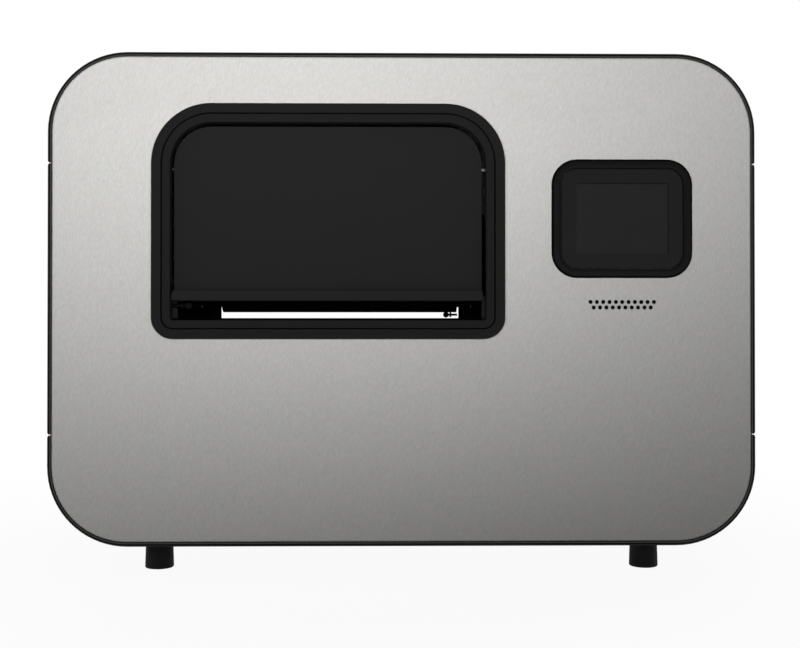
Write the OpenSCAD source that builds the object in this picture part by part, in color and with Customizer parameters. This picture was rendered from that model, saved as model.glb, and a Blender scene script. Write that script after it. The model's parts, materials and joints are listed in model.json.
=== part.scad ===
// Braille embosser of the production class: fan-fold paper goes in at the rear slot, through two pin-belt
// tractors and between two geared embossing drums, and comes out under the flap of the front window.
// The frame has its origin on the floor under the middle of the machine. +X is right as seen from the
// front, the front faces -Y, and +Z is up.

/* [Housing] */
// Width over the side panels
body_w = 782; // [740:1:960]
// Height of the housing above its feet
body_h = 545.1; // [530:0.1:680]
// Depth over the outer faces of the front and rear plates
body_d = 424; // [420:1:520]
// Outer radius of the four long corners
corner_r = 88; // [60:1:110]
// Wall of the moulded shells
shell_t = 4.6; // [4:0.1:8]
// Width of the bevel along the shells' outer edges, as seen from the front
bevel_w = 2.1; // [1:0.1:3]
// Depth of that bevel
bevel_d = 3.6; // [1:0.1:6]
// Setback of the shells' edges from the plates' outer faces
shell_setback = 0.5; // [0:0.5:3]
// Thickness of the front and rear plates
plate_t = 4; // [3:0.5:6]
// Rounding of the plates' visible edges
plate_edge_r = 2.6; // [0.5:0.1:3]
// Gap between a plate's edge and the shells
plate_gap = 0.8; // [0.2:0.1:1]
// Height of the lower seam above the bottom, and of the upper seam below the top
seam_rise = 123; // [112:1:150]
// Gap between two shells at a seam
seam_gap = 1.2; // [0.4:0.1:2]
// Height of the notch along each seam
notch_h = 5; // [3:0.5:8]
// Depth of the notch along each seam
notch_d = 3; // [1:0.5:4]
// Side of the square rails behind the seams
rail_w = 18; // [12:1:24]

/* [Feet] */
// Height of the rubber feet
foot_h = 30.2; // [20:0.1:40]
// Radius of a foot at the floor
foot_r = 16.1; // [12:0.1:20]
// Radius of a foot at the housing
foot_top_r = 15.2; // [12:0.1:20]
// Rounding of a foot's lower edge
foot_edge_r = 1.5; // [0.5:0.5:3]
// Distance of the feet from the sides
foot_inset_x = 115.6; // [110:0.1:160]
// Distance of the feet from the plates' outer faces
foot_inset_y = 44; // [35:1:80]
// Radius of the foot screws
foot_screw_r = 3; // [2:0.5:4]
// Radius of the screw heads
foot_head_r = 6; // [5:0.5:8]
// Rubber left between a screw head and the housing
foot_web = 9; // [6:1:15]

/* [Window] */
// Middle of the window, to the left of the machine's middle
window_x = -81.8; // [-110:0.1:-75]
// Width over the window bezel
window_w = 389; // [380:0.5:400]
// Height over the window bezel
window_h = 259.3; // [250:0.1:290]
// Height of the bezel's lower edge above the bottom of the housing
window_rise = 228.4; // [210:0.1:250]
// Radius of the bezel's upper corners
window_top_r = 66; // [40:1:80]
// Radius of the bezel's lower corners
window_bottom_r = 24; // [23:0.5:40]
// Width of the bezel's outer flange
flange_w = 10.6; // [8:0.1:12]
// Width of the groove between the flange and the inner ring
groove_w = 1.6; // [0.6:0.1:2]
// Depth of that groove
groove_d = 3.2; // [0.6:0.1:3.4]
// Width of the bezel's inner ring
ring_w = 8.7; // [8:0.1:12]
// How far the inner ring lies below the flange
ring_step = 0.6; // [0:0.1:1.2]
// How far the bezels stand out of the plates
proud = 4; // [3:0.5:6]
// How far the inner ring reaches behind the plate's outer face
ring_depth = 9; // [8:0.5:10]

/* [Flap] */
// Gap between the flap and the window at the sides and the top
flap_gap = 3.3; // [2:0.1:5]
// Offset of the flap from the window's middle
flap_shift = -0.8; // [-1.5:0.1:1.5]
// Thickness of the flap panel
flap_t = 3; // [2:0.5:5]
// How far the flap's face lies behind the plate's outer face
flap_recess = 8; // [7:0.5:9]
// Radius of the flap's upper corners
flap_r = 41; // [30:1:45]
// Open height under the flap's lip, where the paper comes out
exit_h = 21; // [18:0.5:24]
// Height of the lip
lip_h = 12; // [8:0.1:14]
// Mean gap between the lip's ends and the window
lip_gap = 2; // [0.8:0.1:3]
// Offset of the lip from the window's middle
lip_shift = -1.5; // [-1.5:0.1:1.5]
// How far the lip's face lies behind the plate's outer face
lip_recess = 0.5; // [0:0.5:6]
// Depth of the flap's axis behind the plate's outer face
axis_depth = 22; // [18:0.5:28]
// Drop of the flap's axis below the flap's upper edge
axis_drop = 45; // [42:0.5:60]
// Thickness of the flap's hinge arms
arm_t = 6; // [4:0.5:8]
// Radius of the hinge pins
pin_r = 3; // [2:0.5:4]

/* [Display and speaker] */
// Middle of the display and speaker, right of the machine's middle
display_x = 242; // [225:0.1:270]
// Height of the display's middle above the bottom of the housing
display_rise = 361.3; // [340:0.1:400]
// Width over the display bezel
display_w = 155.5; // [140:0.5:170]
// Height over the display bezel
display_h = 130.9; // [115:0.1:145]
// Radius of the display bezel's corners
display_r = 28; // [20:1:32]
// Width of the display bezel's rim
display_rim = 10; // [8:0.5:12]
// Width of the display panel's active area
screen_w = 101; // [90:1:106]
// Height of the display panel's active area
screen_h = 76.4; // [70:0.1:80]
// Thickness of the display glass
glass_t = 2; // [1:0.5:3]
// Diameter of the speaker holes
speaker_hole_d = 4.6; // [3:0.1:5]
// Distance between speaker holes
speaker_pitch = 7.02; // [6:0.02:8]
// Thickness of the plate round the speaker holes
grille_t = 1.2; // [0.8:0.1:2]
// Number of holes in the upper, longer row
speaker_holes = 11; // [7:1:13]
// Height of the speaker's middle above the bottom of the housing
speaker_rise = 266.3; // [255:0.1:280]
// Offset of the speaker from the display's middle
speaker_shift = 0.5; // [-5:0.1:5]
// Radius of the speaker's flange
speaker_r = 44; // [38:1:46]

/* [Embossing drums] */
// Radius of both drums
drum_r = 20; // [18:0.5:24]
// Length of the drums' working faces
drum_len = 300; // [250:1:310]
// Offset of the drums from the window's middle
drum_shift = 4.3; // [0:0.1:8]
// Free height between the window's lower edge and the lower drum
sight_h = 12.5; // [10:0.1:16]
// Gap between the drums, where the paper runs
nip = 0.4; // [0.3:0.05:1]
// Radius of the drums' journals
journal_r = 7.95; // [6:0.05:9]
// Number of pin rows round each drum
pin_rows = 12; // [6:2:16]
// Teeth of each drum gear
gear_teeth = 20; // [18:2:28]
// Width of the drum gears
gear_w = 12; // [8:1:14]
// Working radius of the drum pulleys
drum_pulley_r = 22; // [18:1:24]
// Drop of the drum motor below the lower drum
drum_motor_drop = 131; // [120:1:140]
// Radius of the drum motor
drum_motor_r = 36; // [30:1:40]
// Length of the drum motor
drum_motor_len = 70; // [50:1:90]

/* [Paper feed] */
// Distance between the inner faces of the side frames
frame_gap = 348; // [344:0.5:360]
// Thickness of the side frames
frame_t = 6; // [5:0.5:8]
// Depth of the side frames
frame_d = 320; // [310:1:330]
// Height of the side frames above the upper drum's axis
frame_head = 54; // [45:1:70]
// Distance between the two rows of paper pins
pin_span = 318; // [300:1:322]
// Offset of the right row of pins from the window's middle
pin_x = 159.2; // [155:0.1:160]
// Distance between two pins of a row
pin_pitch = 12.7; // [12.5:0.1:13]
// Pins on each tractor belt
belt_pins = 16; // [16:1:18]
// Outer radius of a tractor belt's turns
tractor_r = 12; // [11:0.5:13]
// Thickness of a tractor belt
tractor_belt_t = 1.5; // [1:0.1:2]
// Distance of the guide shaft behind the drums
guide_y = 60; // [50:1:70]
// Radius of the guide shaft
guide_r = 6; // [4:0.5:7]
// Side of the square feed shaft
feed_w = 8; // [6:0.5:9]
// Width of a tractor body
tractor_w = 22; // [20:1:24]
// Wall of a tractor body
cheek_t = 4; // [3:0.5:5]
// Thickness of a tractor lid
lid_t = 3; // [2:0.5:4]
// Distance of the lock levers' pivots behind the drums
lever_y = 90; // [85:1:100]
// Length of a lock lever from its pivot to its ball
lever_len = 20.7; // [18:0.1:22]
// Radius of a lock lever's ball
ball_r = 4; // [3:0.25:4]
// Swing of a lock lever between released and locked
lever_swing = 50; // [30:1:55]
// Working radius of the feed pulleys
feed_pulley_r = 16; // [14:1:18]
// Drop of the feed motor below the feed shaft
feed_motor_drop = 119; // [110:1:125]
// Side of the square feed motor
feed_motor_w = 57; // [42:1:60]
// Length of the feed motor
feed_motor_len = 56; // [40:1:80]

/* [Rear side] */
// Width of the rear paper slot
slot_w = 351; // [345:1:356]
// Height of the rear paper slot
slot_h = 59; // [50:1:80]
// Height of the rear slot's lower edge above the bottom of the housing
slot_rise = 257.1; // [240:0.1:265]
// Offset of the rear slot from the window's middle
slot_shift = -4; // [-5:0.1:0]
// Height of the power inlet and the power switch above the bottom of the housing
inlet_rise = 80; // [70:1:100]
// Height of the data ports above the bottom of the housing
port_rise = 175; // [160:1:190]
// Number of ventilation slots
vent_count = 11; // [5:1:13]

/* [Clearances] */
// Running clearance of a shaft in its hole, on the radius
run = 0.05; // [0.02:0.01:0.1]
// Clearance of pieces that are fastened together, on the radius
fit = 0.02; // [0.01:0.01:0.05]
// Clearance between pieces that move past each other
clear = 0.3; // [0.3:0.05:0.5]

/* [Hidden] */

$fn = 64;

// Planes of the housing
front_y = -body_d / 2;
rear_y = body_d / 2;
body_z = foot_h;
floor_z = body_z + shell_t;
shell_reach = body_d / 2 - shell_setback;
plate_w = body_w - 2 * (shell_t + plate_gap);
plate_h = body_h - 2 * (shell_t + plate_gap);
plate_r = corner_r - shell_t - plate_gap;
plate_z = body_z + shell_t + plate_gap;
plate_band = 12;
lower_seam = seam_rise;
upper_seam = body_h - seam_rise;

// Feet
foot_x = body_w / 2 - foot_inset_x;
foot_y = body_d / 2 - foot_inset_y;
screw_head_t = 4;

// Window and flap
border = flange_w + groove_w + ring_w;
open_w = window_w - 2 * border;
open_z = body_z + window_rise + border;
open_top = body_z + window_rise + window_h - border;
ring_wall = 8.9;
flap_w = open_w - 2 * flap_gap;
lip_z = open_z + exit_h;
flap_z = lip_z + lip_h;
flap_top = open_top - flap_gap;
flap_y = front_y + flap_recess;
flap_back = flap_y + flap_t;
lip_y = front_y + lip_recess;
lip_w = open_w - 2 * lip_gap;
axis_y = front_y + axis_depth;
axis_z = flap_top - axis_drop;
arm_x = open_w / 2 - 14;
bracket_x = window_w / 2 - flange_w - groove_w + 4;
bracket_t = 4;
stop_y = flap_back + clear;
stop_t = 3;
stop_in = 5.2;
stop_w = 12;
stud_z = lip_z - 4.9;
stud_y = stop_y + 5.7;
stud_r = 1.5;
stud_ball_r = 4.2;

// Display and speaker
display_z = body_z + display_rise - display_h / 2;
glass_w = display_w - 2 * display_rim;
glass_h = display_h - 2 * display_rim;
module_edge = 5;
module_t = plate_t + 4;
speaker_x = display_x + speaker_shift;
speaker_z = body_z + speaker_rise;
basket_rim = 7;

// Mechanism
frame_x0 = window_x - frame_gap / 2;
frame_x1 = window_x + frame_gap / 2;
base_t = 4;
base_z = floor_z + base_t;
drum_x = window_x + drum_shift - drum_len / 2;
drum_z = open_z + sight_h + drum_r;
upper_z = drum_z + 2 * drum_r + nip;
paper_z = drum_z + drum_r + nip / 2;
frame_top = upper_z + frame_head;
gear_m = (2 * drum_r + nip) / gear_teeth;
gear_x = frame_x1 + frame_t + 3;
pulley_x = gear_x + gear_w + 4;
pulley_w = 14;
pulley_flange = 2;
pulley_rim = 3;
belt_w = pulley_w - 2 * pulley_flange - 2 * clear;
belt_t = 2;
bearing_w = 8;
bearing_r = 14;
feed_bearing_r = 11;
feed_journal_r = 5.45;
motor_shaft_r = 5 - run;
motor_boss_r = 11.5;
motor_bore = 30;
drum_motor_z = drum_z - drum_motor_drop;
belt_c = (belt_pins * pin_pitch - 2 * PI * (tractor_r - tractor_belt_t / 2)) / 2;
feed_y = guide_y + belt_c;
tractor_axis = tractor_r;
shaft_z = paper_z - tractor_axis;
feed_motor_z = shaft_z - feed_motor_drop;
right_x = window_x + pin_x;
left_x = right_x - pin_span;
tractor_floor = 30.5;
lever_t = 3.4;
lever_drop = 21;
lever_z = paper_z - lever_drop;
pivot_r = 3;
lid_axis_x = tractor_w / 2 - 2;
lid_axis_z = paper_z + 2.5;
lid_pin_r = 1.5;
lug_t = 4;
cheek_y0 = guide_y - tractor_r - 4;
cheek_y1 = feed_y + tractor_r + 4;
sprocket_hub_r = 8;
bar_r = 7;
low_bar_y = frame_d / 2 - 25;
low_bar_z = base_z + 30;
high_bar_y = frame_d / 2 - 60;
high_bar_z = frame_top - 20;
magnet_r = 7;
magnet_count = 14;

// Rear side
slot_x = window_x + slot_shift;
slot_z = body_z + slot_rise;
inlet_x = body_w / 2 - 100;
switch_x = inlet_x - 54;
port_z = body_z + port_rise;
port_x = switch_x - 36;
board_gap = 12;
board_y = rear_y - plate_t - board_gap;
board_t = 1.6;
board_w = 180;
board_h = 140;
board_x = port_x - 50;
board_z = port_z - 30;
board_hole = 8;
rocker_r = 8;
rocker_y = rear_y - 5;
rocker_swing = 20;
switch_wall = 1.5;
slot_r = 1.2;
lining_w = 8;
lining_t = 2.5;
lining_r = 1.5;
inlet_w = 27;
inlet_h = 20;
switch_w = 13;
switch_h = 20;
usb_w = 12;
usb_h = 11;
lan_w = 16;
lan_h = 14;
port_step = 30;
vent_w = 5;
vent_h = 60;
vent_pitch = 13;
vent_z = body_z + display_rise;

// Points of an arc of radius r about c, from angle a to angle b
function arc(c, r, a, b, n = 14) =
    [for (i = [0:n]) c + r * [cos(a + (b - a) * i / n), sin(a + (b - a) * i / n)]];

// Outline of a rectangle that stands on the x axis, with its own upper and lower corner radii
function outline(w, h, rt, rb) = concat(
    arc([w / 2 - rb, rb], rb, -90, 0),
    arc([w / 2 - rt, h - rt], rt, 0, 90),
    arc([-w / 2 + rt, h - rt], rt, 90, 180),
    arc([-w / 2 + rb, rb], rb, 180, 270)
);

// Point on the involute of a circle of radius rb, at roll angle a
function involute(rb, a) = rb * [cos(a) + a * PI / 180 * sin(a), sin(a) - a * PI / 180 * cos(a)];

function turned(p, a) = [p.x * cos(a) - p.y * sin(a), p.x * sin(a) + p.y * cos(a)];

// One gear tooth about the +x direction, from its root on one side to its root on the other
function tooth(m, n, slack) =
    let (
        rp = m * n / 2,
        rb = rp * cos(20),
        tip = sqrt(pow((rp + m) / rb, 2) - 1) * 180 / PI,
        half = 90 / n - slack / rp * 90 / PI + tan(20) * 180 / PI - 20,
        root = [rp - 1.25 * m, 0],
        flank = [for (i = [0:5]) turned(involute(rb, tip * i / 5), -half)]
    )
    concat(
        [turned(root, -half)],
        flank,
        [for (i = [5:-1:0]) [flank[i].x, -flank[i].y]],
        [turned(root, half)]
    );

function gear_outline(m, n, slack) =
    [for (k = [0:n - 1]) for (p = tooth(m, n, slack)) turned(p, k * 360 / n)];

// Place of a pin at distance s along a tractor belt: y, z and the direction that it points in
function pin_place(s, c, r) =
    let (turn = PI * r)
    s < c ? [guide_y + s, tractor_r, 90]
    : s < c + turn ? [feed_y, 0, 90 - (s - c) / turn * 180]
    : s < 2 * c + turn ? [feed_y - (s - c - turn), -tractor_r, -90]
    : [guide_y, 0, -90 - (s - 2 * c - turn) / turn * 180];

// Middle of the k-th magnet along the drums
function magnet_x(k) = drum_x + (k + 0.5) * drum_len / magnet_count;

// Stands a front-view shape upright, from depth y backwards by t
module upright(y, t) {
    translate([0, y + t, 0]) rotate([90, 0, 0]) linear_extrude(t) children();
}

// Extrudes a side-view shape, drawn in y and z, along x
module along_x(x, len) {
    translate([x, 0, 0]) rotate([90, 0, 90]) linear_extrude(len) children();
}

// Round bar along x
module rod(x0, x1, y, z, r) {
    translate([x0, y, z]) rotate([0, 90, 0]) cylinder(r = r, h = x1 - x0);
}

// Ring along x
module ring(x, w, y, z, r_out, r_in) {
    translate([x, y, z]) rotate([0, 90, 0]) rotate_extrude() translate([r_in, 0]) square([r_out - r_in, w]);
}

// Straight run and quarter turn of a section that goes round a frame: the section's x is measured outwards
// from the frame's outline, and its y towards the front
module sweep_run(len, dir, at) {
    translate(at) rotate([0, 0, dir]) rotate([90, 0, 90]) linear_extrude(len) children();
}

module sweep_turn(r, dir, at) {
    translate(at) rotate([0, 0, dir]) rotate_extrude(angle = 90) translate([r, 0]) children();
}

// Section carried all round a rectangle that stands on z = 0
module frame_sweep(w, h, rt, rb) {
    rotate([90, 0, 0]) {
        sweep_run(w - 2 * rt, 0, [-w / 2 + rt, h, 0]) children();
        sweep_run(h - rt - rb, 90, [-w / 2, rb, 0]) children();
        sweep_run(w - 2 * rb, 180, [w / 2 - rb, 0, 0]) children();
        sweep_run(h - rt - rb, -90, [w / 2, h - rt, 0]) children();
        sweep_turn(rt, 0, [w / 2 - rt, h - rt, 0]) children();
        sweep_turn(rt, 90, [-w / 2 + rt, h - rt, 0]) children();
        sweep_turn(rb, 180, [-w / 2 + rb, rb, 0]) children();
        sweep_turn(rb, 270, [w / 2 - rb, rb, 0]) children();
    }
}

// Rectangle that stands on the x axis
module square_at(w, h) {
    translate([-w / 2, 0]) square([w, h]);
}

// Mirrors what is drawn for the front to the rear
module at_rear() {
    mirror([0, 1, 0]) children();
}

// Section through a shell's wall, bevelled at both outer edges
module shell_section() {
    polygon([
        [-shell_t, -shell_reach], [-bevel_w, -shell_reach], [0, -shell_reach + bevel_d],
        [0, shell_reach - bevel_d], [-bevel_w, shell_reach], [-shell_t, shell_reach]
    ]);
}

// Side wall of the housing between two heights above its bottom, on the left (-1) or the right (1)
module side_wall(side, z0, z1) {
    dir = side < 0 ? 90 : -90;
    z = side < 0 ? z0 : z1;
    sweep_run(z1 - z0, dir, [side * body_w / 2, z, 0]) shell_section();
}

// Notch cut along a seam
module seam_notch(side, z) {
    out = 1;
    slope = notch_h / 2 / notch_d;
    half = slope * (notch_d + out);
    x_out = body_w / 2 + out;
    x_in = body_w / 2 - notch_d;
    linear_extrude(body_d, center = true)
        polygon([[side * x_out, z - half], [side * x_in, z], [side * x_out, z + half]]);
}

// Stands the shells' drawing upright at the bottom of the housing
module shell_place() {
    translate([0, 0, body_z]) rotate([90, 0, 0]) children();
}

module side_panel(side) {
    color("#2b2b2b") shell_place() difference() {
        side_wall(side, lower_seam + seam_gap / 2, upper_seam - seam_gap / 2);
        seam_notch(side, lower_seam);
        seam_notch(side, upper_seam);
    }
}

module left_side_panel() {
    side_panel(-1);
}

module right_side_panel() {
    side_panel(1);
}

module top_cover() {
    run_z = upper_seam + seam_gap / 2;
    turn_z = body_h - corner_r;
    turn_x = body_w / 2 - corner_r;
    color("#262626") shell_place() difference() {
        union() {
            sweep_run(2 * turn_x, 0, [-turn_x, body_h, 0]) shell_section();
            sweep_turn(corner_r, 0, [turn_x, turn_z, 0]) shell_section();
            sweep_turn(corner_r, 90, [-turn_x, turn_z, 0]) shell_section();
            for (side = [-1, 1]) side_wall(side, run_z, turn_z);
        }
        for (side = [-1, 1]) seam_notch(side, upper_seam);
    }
}

module bottom_tray() {
    run_z = lower_seam - seam_gap / 2;
    turn_x = body_w / 2 - corner_r;
    color("#262626") difference() {
        shell_place() difference() {
            union() {
                sweep_run(2 * turn_x, 180, [turn_x, 0, 0]) shell_section();
                sweep_turn(corner_r, 180, [-turn_x, corner_r, 0]) shell_section();
                sweep_turn(corner_r, 270, [turn_x, corner_r, 0]) shell_section();
                for (side = [-1, 1]) side_wall(side, corner_r, run_z);
            }
            for (side = [-1, 1]) seam_notch(side, lower_seam);
        }
        foot_holes();
    }
}

module at_feet() {
    for (sx = [-1, 1]) for (sy = [-1, 1]) translate([sx * foot_x, sy * foot_y, 0]) children();
}

module foot_holes() {
    at_feet() cylinder(r = foot_screw_r + fit, h = base_z + 1);
}

module rubber_feet() {
    bore = foot_head_r + 1.5;
    color("#181818") at_feet() rotate_extrude() polygon(concat(
        [[bore, 0]],
        arc([foot_r - foot_edge_r, foot_edge_r], foot_edge_r, -90, 0, 5),
        [
            [foot_top_r, foot_h],
            [foot_screw_r + fit, foot_h],
            [foot_screw_r + fit, foot_h - foot_web],
            [bore, foot_h - foot_web]
        ]
    ));
}

module foot_screws() {
    seat = foot_h - foot_web;
    socket_r = 2.6;
    color("silver") at_feet() difference() {
        union() {
            translate([0, 0, seat - screw_head_t]) cylinder(r = foot_head_r, h = screw_head_t);
            cylinder_from(seat, base_z + 3, foot_screw_r);
        }
        translate([0, 0, seat - screw_head_t - 1]) cylinder(r = socket_r, h = screw_head_t, $fn = 6);
    }
}

module cylinder_from(z0, z1, r) {
    translate([0, 0, z0]) cylinder(r = r, h = z1 - z0);
}

module frame_rails() {
    len = body_d - 2 * plate_t;
    wall = 2;
    inside = rail_w - 2 * wall;
    for (sx = [-1, 1]) for (z = [lower_seam, upper_seam])
        color("#9a9a98") translate([sx * (body_w / 2 - shell_t - rail_w / 2), 0, body_z + z]) difference() {
            cube([rail_w, len, rail_w], center = true);
            cube([inside, len + 1, inside], center = true);
        }
}

// Flat plate with a rounded visible edge, its outer face at the front
module plate_blank() {
    face = body_d / 2;
    r = plate_edge_r;
    inset = plate_band - 4;
    translate([0, 0, plate_z]) frame_sweep(plate_w, plate_h, plate_r, plate_r) polygon(concat(
        [[-plate_band, face - plate_t], [0, face - plate_t]],
        arc([-r, face - r], r, 0, 90, 6),
        [[-plate_band, face]]
    ));
    translate([0, 0, plate_z + inset]) upright(front_y, plate_t)
        polygon(outline(plate_w - 2 * inset, plate_h - 2 * inset, plate_r - inset, plate_r - inset));
}

module speaker_grille() {
    row = speaker_pitch * sqrt(3) / 4;
    for (k = [0:speaker_holes - 1])
        speaker_hole(speaker_x + (k - (speaker_holes - 1) / 2) * speaker_pitch, speaker_z + row);
    for (k = [0:speaker_holes - 2])
        speaker_hole(speaker_x + (k - (speaker_holes - 2) / 2) * speaker_pitch, speaker_z - row);
}

// Pocket behind the speaker holes, where the plate is thinner
module speaker_pocket() {
    w = speaker_holes * speaker_pitch + 4;
    h = 20;
    r = 6;
    translate([speaker_x, 0, speaker_z - h / 2]) upright(front_y + grille_t, plate_t)
        polygon(outline(w, h, r, r));
}

module speaker_hole(x, z) {
    translate([x, front_y - 1, z]) rotate([-90, 0, 0]) cylinder(d = speaker_hole_d, h = plate_t + 2);
}

module front_plate() {
    hole = border - ring_wall - clear;
    hole_w = window_w - 2 * hole;
    hole_h = window_h - 2 * hole;
    module_w = screen_w + 2 * module_edge + 2 * clear;
    module_h = screen_h + 2 * module_edge + 2 * clear;
    color("#c6c6c4") difference() {
        plate_blank();
        translate([window_x, 0, body_z + window_rise + hole]) upright(front_y - 1, plate_t + 2)
            polygon(outline(hole_w, hole_h, window_top_r - hole, window_bottom_r - hole));
        translate([display_x, 0, body_z + display_rise - module_h / 2]) upright(front_y - 1, plate_t + 2)
            square_at(module_w, module_h);
        speaker_grille();
        speaker_pocket();
    }
}

// Rounded lining of the rear paper slot
module slot_lining() {
    face = body_d / 2;
    r = lining_r;
    at_rear() translate([slot_x, 0, slot_z - lining_w])
        frame_sweep(slot_w + 2 * lining_w, slot_h + 2 * lining_w, lining_w + slot_r, lining_w + slot_r)
            polygon(concat(
                [[-lining_w, face - plate_t]],
                arc([-lining_w + r, face + proud - r], r, 180, 90, 4),
                arc([-r, face + proud - r], r, 90, 0, 4),
                [[0, face - 0.5], [-lining_w + lining_t, face - 0.5], [-lining_w + lining_t, face - plate_t]]
            ));
}

module rear_plate() {
    cut = lining_t - 1;
    post_r = 3;
    color("#b9b9b7") difference() {
        union() {
            difference() {
                at_rear() plate_blank();
                translate([slot_x, 0, slot_z - cut]) upright(rear_y - plate_t - 1, plate_t + 2)
                    polygon(outline(slot_w + 2 * cut, slot_h + 2 * cut, slot_r + cut, slot_r + cut));
            }
            slot_lining();
            for (bx = [board_hole, board_w - board_hole]) for (bz = [board_hole, board_h - board_hole])
                translate([board_x + bx, rear_y - 1, board_z + bz]) rotate([90, 0, 0])
                    cylinder(r = post_r, h = plate_t + board_gap - 1);
        }
        rear_cut(inlet_x, body_z + inlet_rise, inlet_w + 2 * fit, inlet_h + 2 * fit);
        rear_cut(switch_x, body_z + inlet_rise, switch_w + 2 * fit, switch_h + 2 * fit);
        rear_cut(port_x, port_z, usb_w + 2 * clear, usb_h + 2 * clear);
        rear_cut(port_x + port_step, port_z, lan_w + 2 * clear, lan_h + 2 * clear);
        for (k = [0:vent_count - 1])
            rear_cut(display_x + (k - (vent_count - 1) / 2) * vent_pitch, vent_z, vent_w, vent_h);
    }
}

// Rectangular hole through the rear plate
module rear_cut(x, z, w, h) {
    translate([x - w / 2, rear_y - plate_t - 1, z - h / 2]) cube([w, plate_t + 2, h]);
}

module window_bezel() {
    face = body_d / 2;
    top = face + proud;
    edge = 1.5;
    in = 1;
    ring_top = top - ring_step;
    color("#1f1f1f") translate([window_x, 0, body_z + window_rise])
        frame_sweep(window_w, window_h, window_top_r, window_bottom_r) polygon(concat(
            [[0, face]],
            arc([-edge, top - edge], edge, 0, 90, 5),
            [
                [-flange_w, top],
                [-flange_w, top - groove_d],
                [-flange_w - groove_w, top - groove_d],
                [-flange_w - groove_w, ring_top]
            ],
            arc([-border + in, ring_top - in], in, 90, 180, 4),
            [
                [-border, face - ring_depth],
                [-border + ring_wall, face - ring_depth],
                [-border + ring_wall, face]
            ]
        ));
}

module flap_panel() {
    color("#242424") translate([window_x + flap_shift, 0, flap_z]) upright(flap_y, flap_t)
        polygon(outline(flap_w, flap_top - flap_z, flap_r, 0));
}

// Bar along the flap's lower edge: wider than the flap, with slanted ends and a flat, rounded-off face
module flap_lip() {
    depth = flap_back - lip_y;
    low_edge = 2.6;
    high_edge = 0.8;
    slant = lip_h / 2;
    color("#242424") translate([window_x, 0, lip_z]) intersection() {
        upright(lip_y, depth) polygon([
            [lip_shift - lip_w / 2, 0], [lip_shift + lip_w / 2, 0], [lip_shift + lip_w / 2, slant],
            [flap_shift + flap_w / 2, lip_h], [flap_shift - flap_w / 2, lip_h], [lip_shift - lip_w / 2, slant]
        ]);
        along_x(-lip_w, 2 * lip_w) polygon(concat(
            arc([lip_y + low_edge, low_edge], low_edge, 180, 270, 5),
            [[flap_back, 0], [flap_back, lip_h]],
            arc([lip_y + high_edge, lip_h - high_edge], high_edge, 90, 180, 5)
        ));
    }
}

module at_flap_ends() {
    for (side = [0, 1]) translate([window_x, 0, 0]) mirror([side, 0, 0]) children();
}

module flap_hinge_arms() {
    eye = pin_r + 4;
    foot = 24;
    color("#3a3a3a") at_flap_ends() difference() {
        union() {
            along_x(arm_x - arm_t, arm_t) polygon([
                [flap_back, axis_z - foot], [axis_y, axis_z - eye], [axis_y, axis_z + eye],
                [flap_back, axis_z + foot]
            ]);
            rod(arm_x - arm_t, arm_x, axis_y, axis_z, eye);
        }
        rod(arm_x - arm_t - 1, arm_x + 1, axis_y, axis_z, pin_r + run);
    }
}

module flap_hinge_brackets() {
    eye = pin_r + 4;
    back = front_y + plate_t;
    foot = 16;
    color("#8c8c8a") at_flap_ends() difference() {
        union() {
            along_x(bracket_x, bracket_t) polygon([
                [back, axis_z - foot], [axis_y, axis_z - eye], [axis_y, axis_z + eye], [back, axis_z + foot]
            ]);
            rod(bracket_x, bracket_x + bracket_t, axis_y, axis_z, eye);
            translate([bracket_x, back, axis_z - foot]) cube([foot, 3, 2 * foot]);
        }
        rod(bracket_x - 1, bracket_x + bracket_t + 1, axis_y, axis_z, pin_r + fit);
    }
}

module flap_hinge_pins() {
    head = 3;
    color("silver") at_flap_ends() {
        rod(arm_x - arm_t - 2, bracket_x + bracket_t + head, axis_y, axis_z, pin_r);
        rod(bracket_x + bracket_t, bracket_x + bracket_t + head, axis_y, axis_z, pin_r + 2);
    }
}

// Plates in the window's lower corners that stop the flap, fastened beside it to the back of the front plate
module flap_stop_brackets() {
    back = front_y + plate_t;
    foot_w = 12;
    foot_gap = 2;
    rise = 2.2;
    lap = 6;
    slot = 5;
    right_out = 1.4;
    boss = 8;
    boss_wall = 5;
    z = open_z + rise;
    h = lip_z + lap - z;
    for (side = [-1, 1]) {
        x_in = window_x + side * (open_w / 2 - stop_in + (side > 0 ? right_out : 0));
        x_foot = window_x + side * (open_w / 2 + ring_wall + foot_gap);
        x_out = x_foot + side * foot_w;
        color("#2e2e2e") difference() {
            union() {
                translate([min(x_in, x_out), stop_y, z]) cube([abs(x_out - x_in), stop_t, h]);
                translate([min(x_foot, x_out), back, z]) cube([foot_w, stop_y - back + stop_t, h]);
                if (side < 0)
                    translate([x_in - stop_w, stop_y, stud_z - boss])
                        cube([stop_w / 2, stud_y - stop_y + boss_wall, 2 * boss]);
            }
            if (side < 0) {
                translate([x_in - stop_w / 2, stop_y - 1, stud_z - slot / 2])
                    cube([stop_w, stop_t + 2, slot]);
                rod(x_in - stop_w - 1, x_in, stud_y, stud_z, stud_r + fit);
            }
        }
    }
}

// Ball-tipped stud on the left stop bracket
module flap_stud() {
    ball_in = 17.2;
    collar_back = 8;
    collar_t = 1.5;
    x0 = window_x - open_w / 2 + stop_in - stop_w;
    ball_x = window_x - open_w / 2 + ball_in;
    collar_x = ball_x - collar_back;
    color("#202020") {
        rod(x0, ball_x, stud_y, stud_z, stud_r);
        rod(collar_x, collar_x + collar_t, stud_y, stud_z, 2 * stud_r);
        translate([ball_x, stud_y, stud_z]) sphere(r = stud_ball_r);
    }
}

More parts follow.
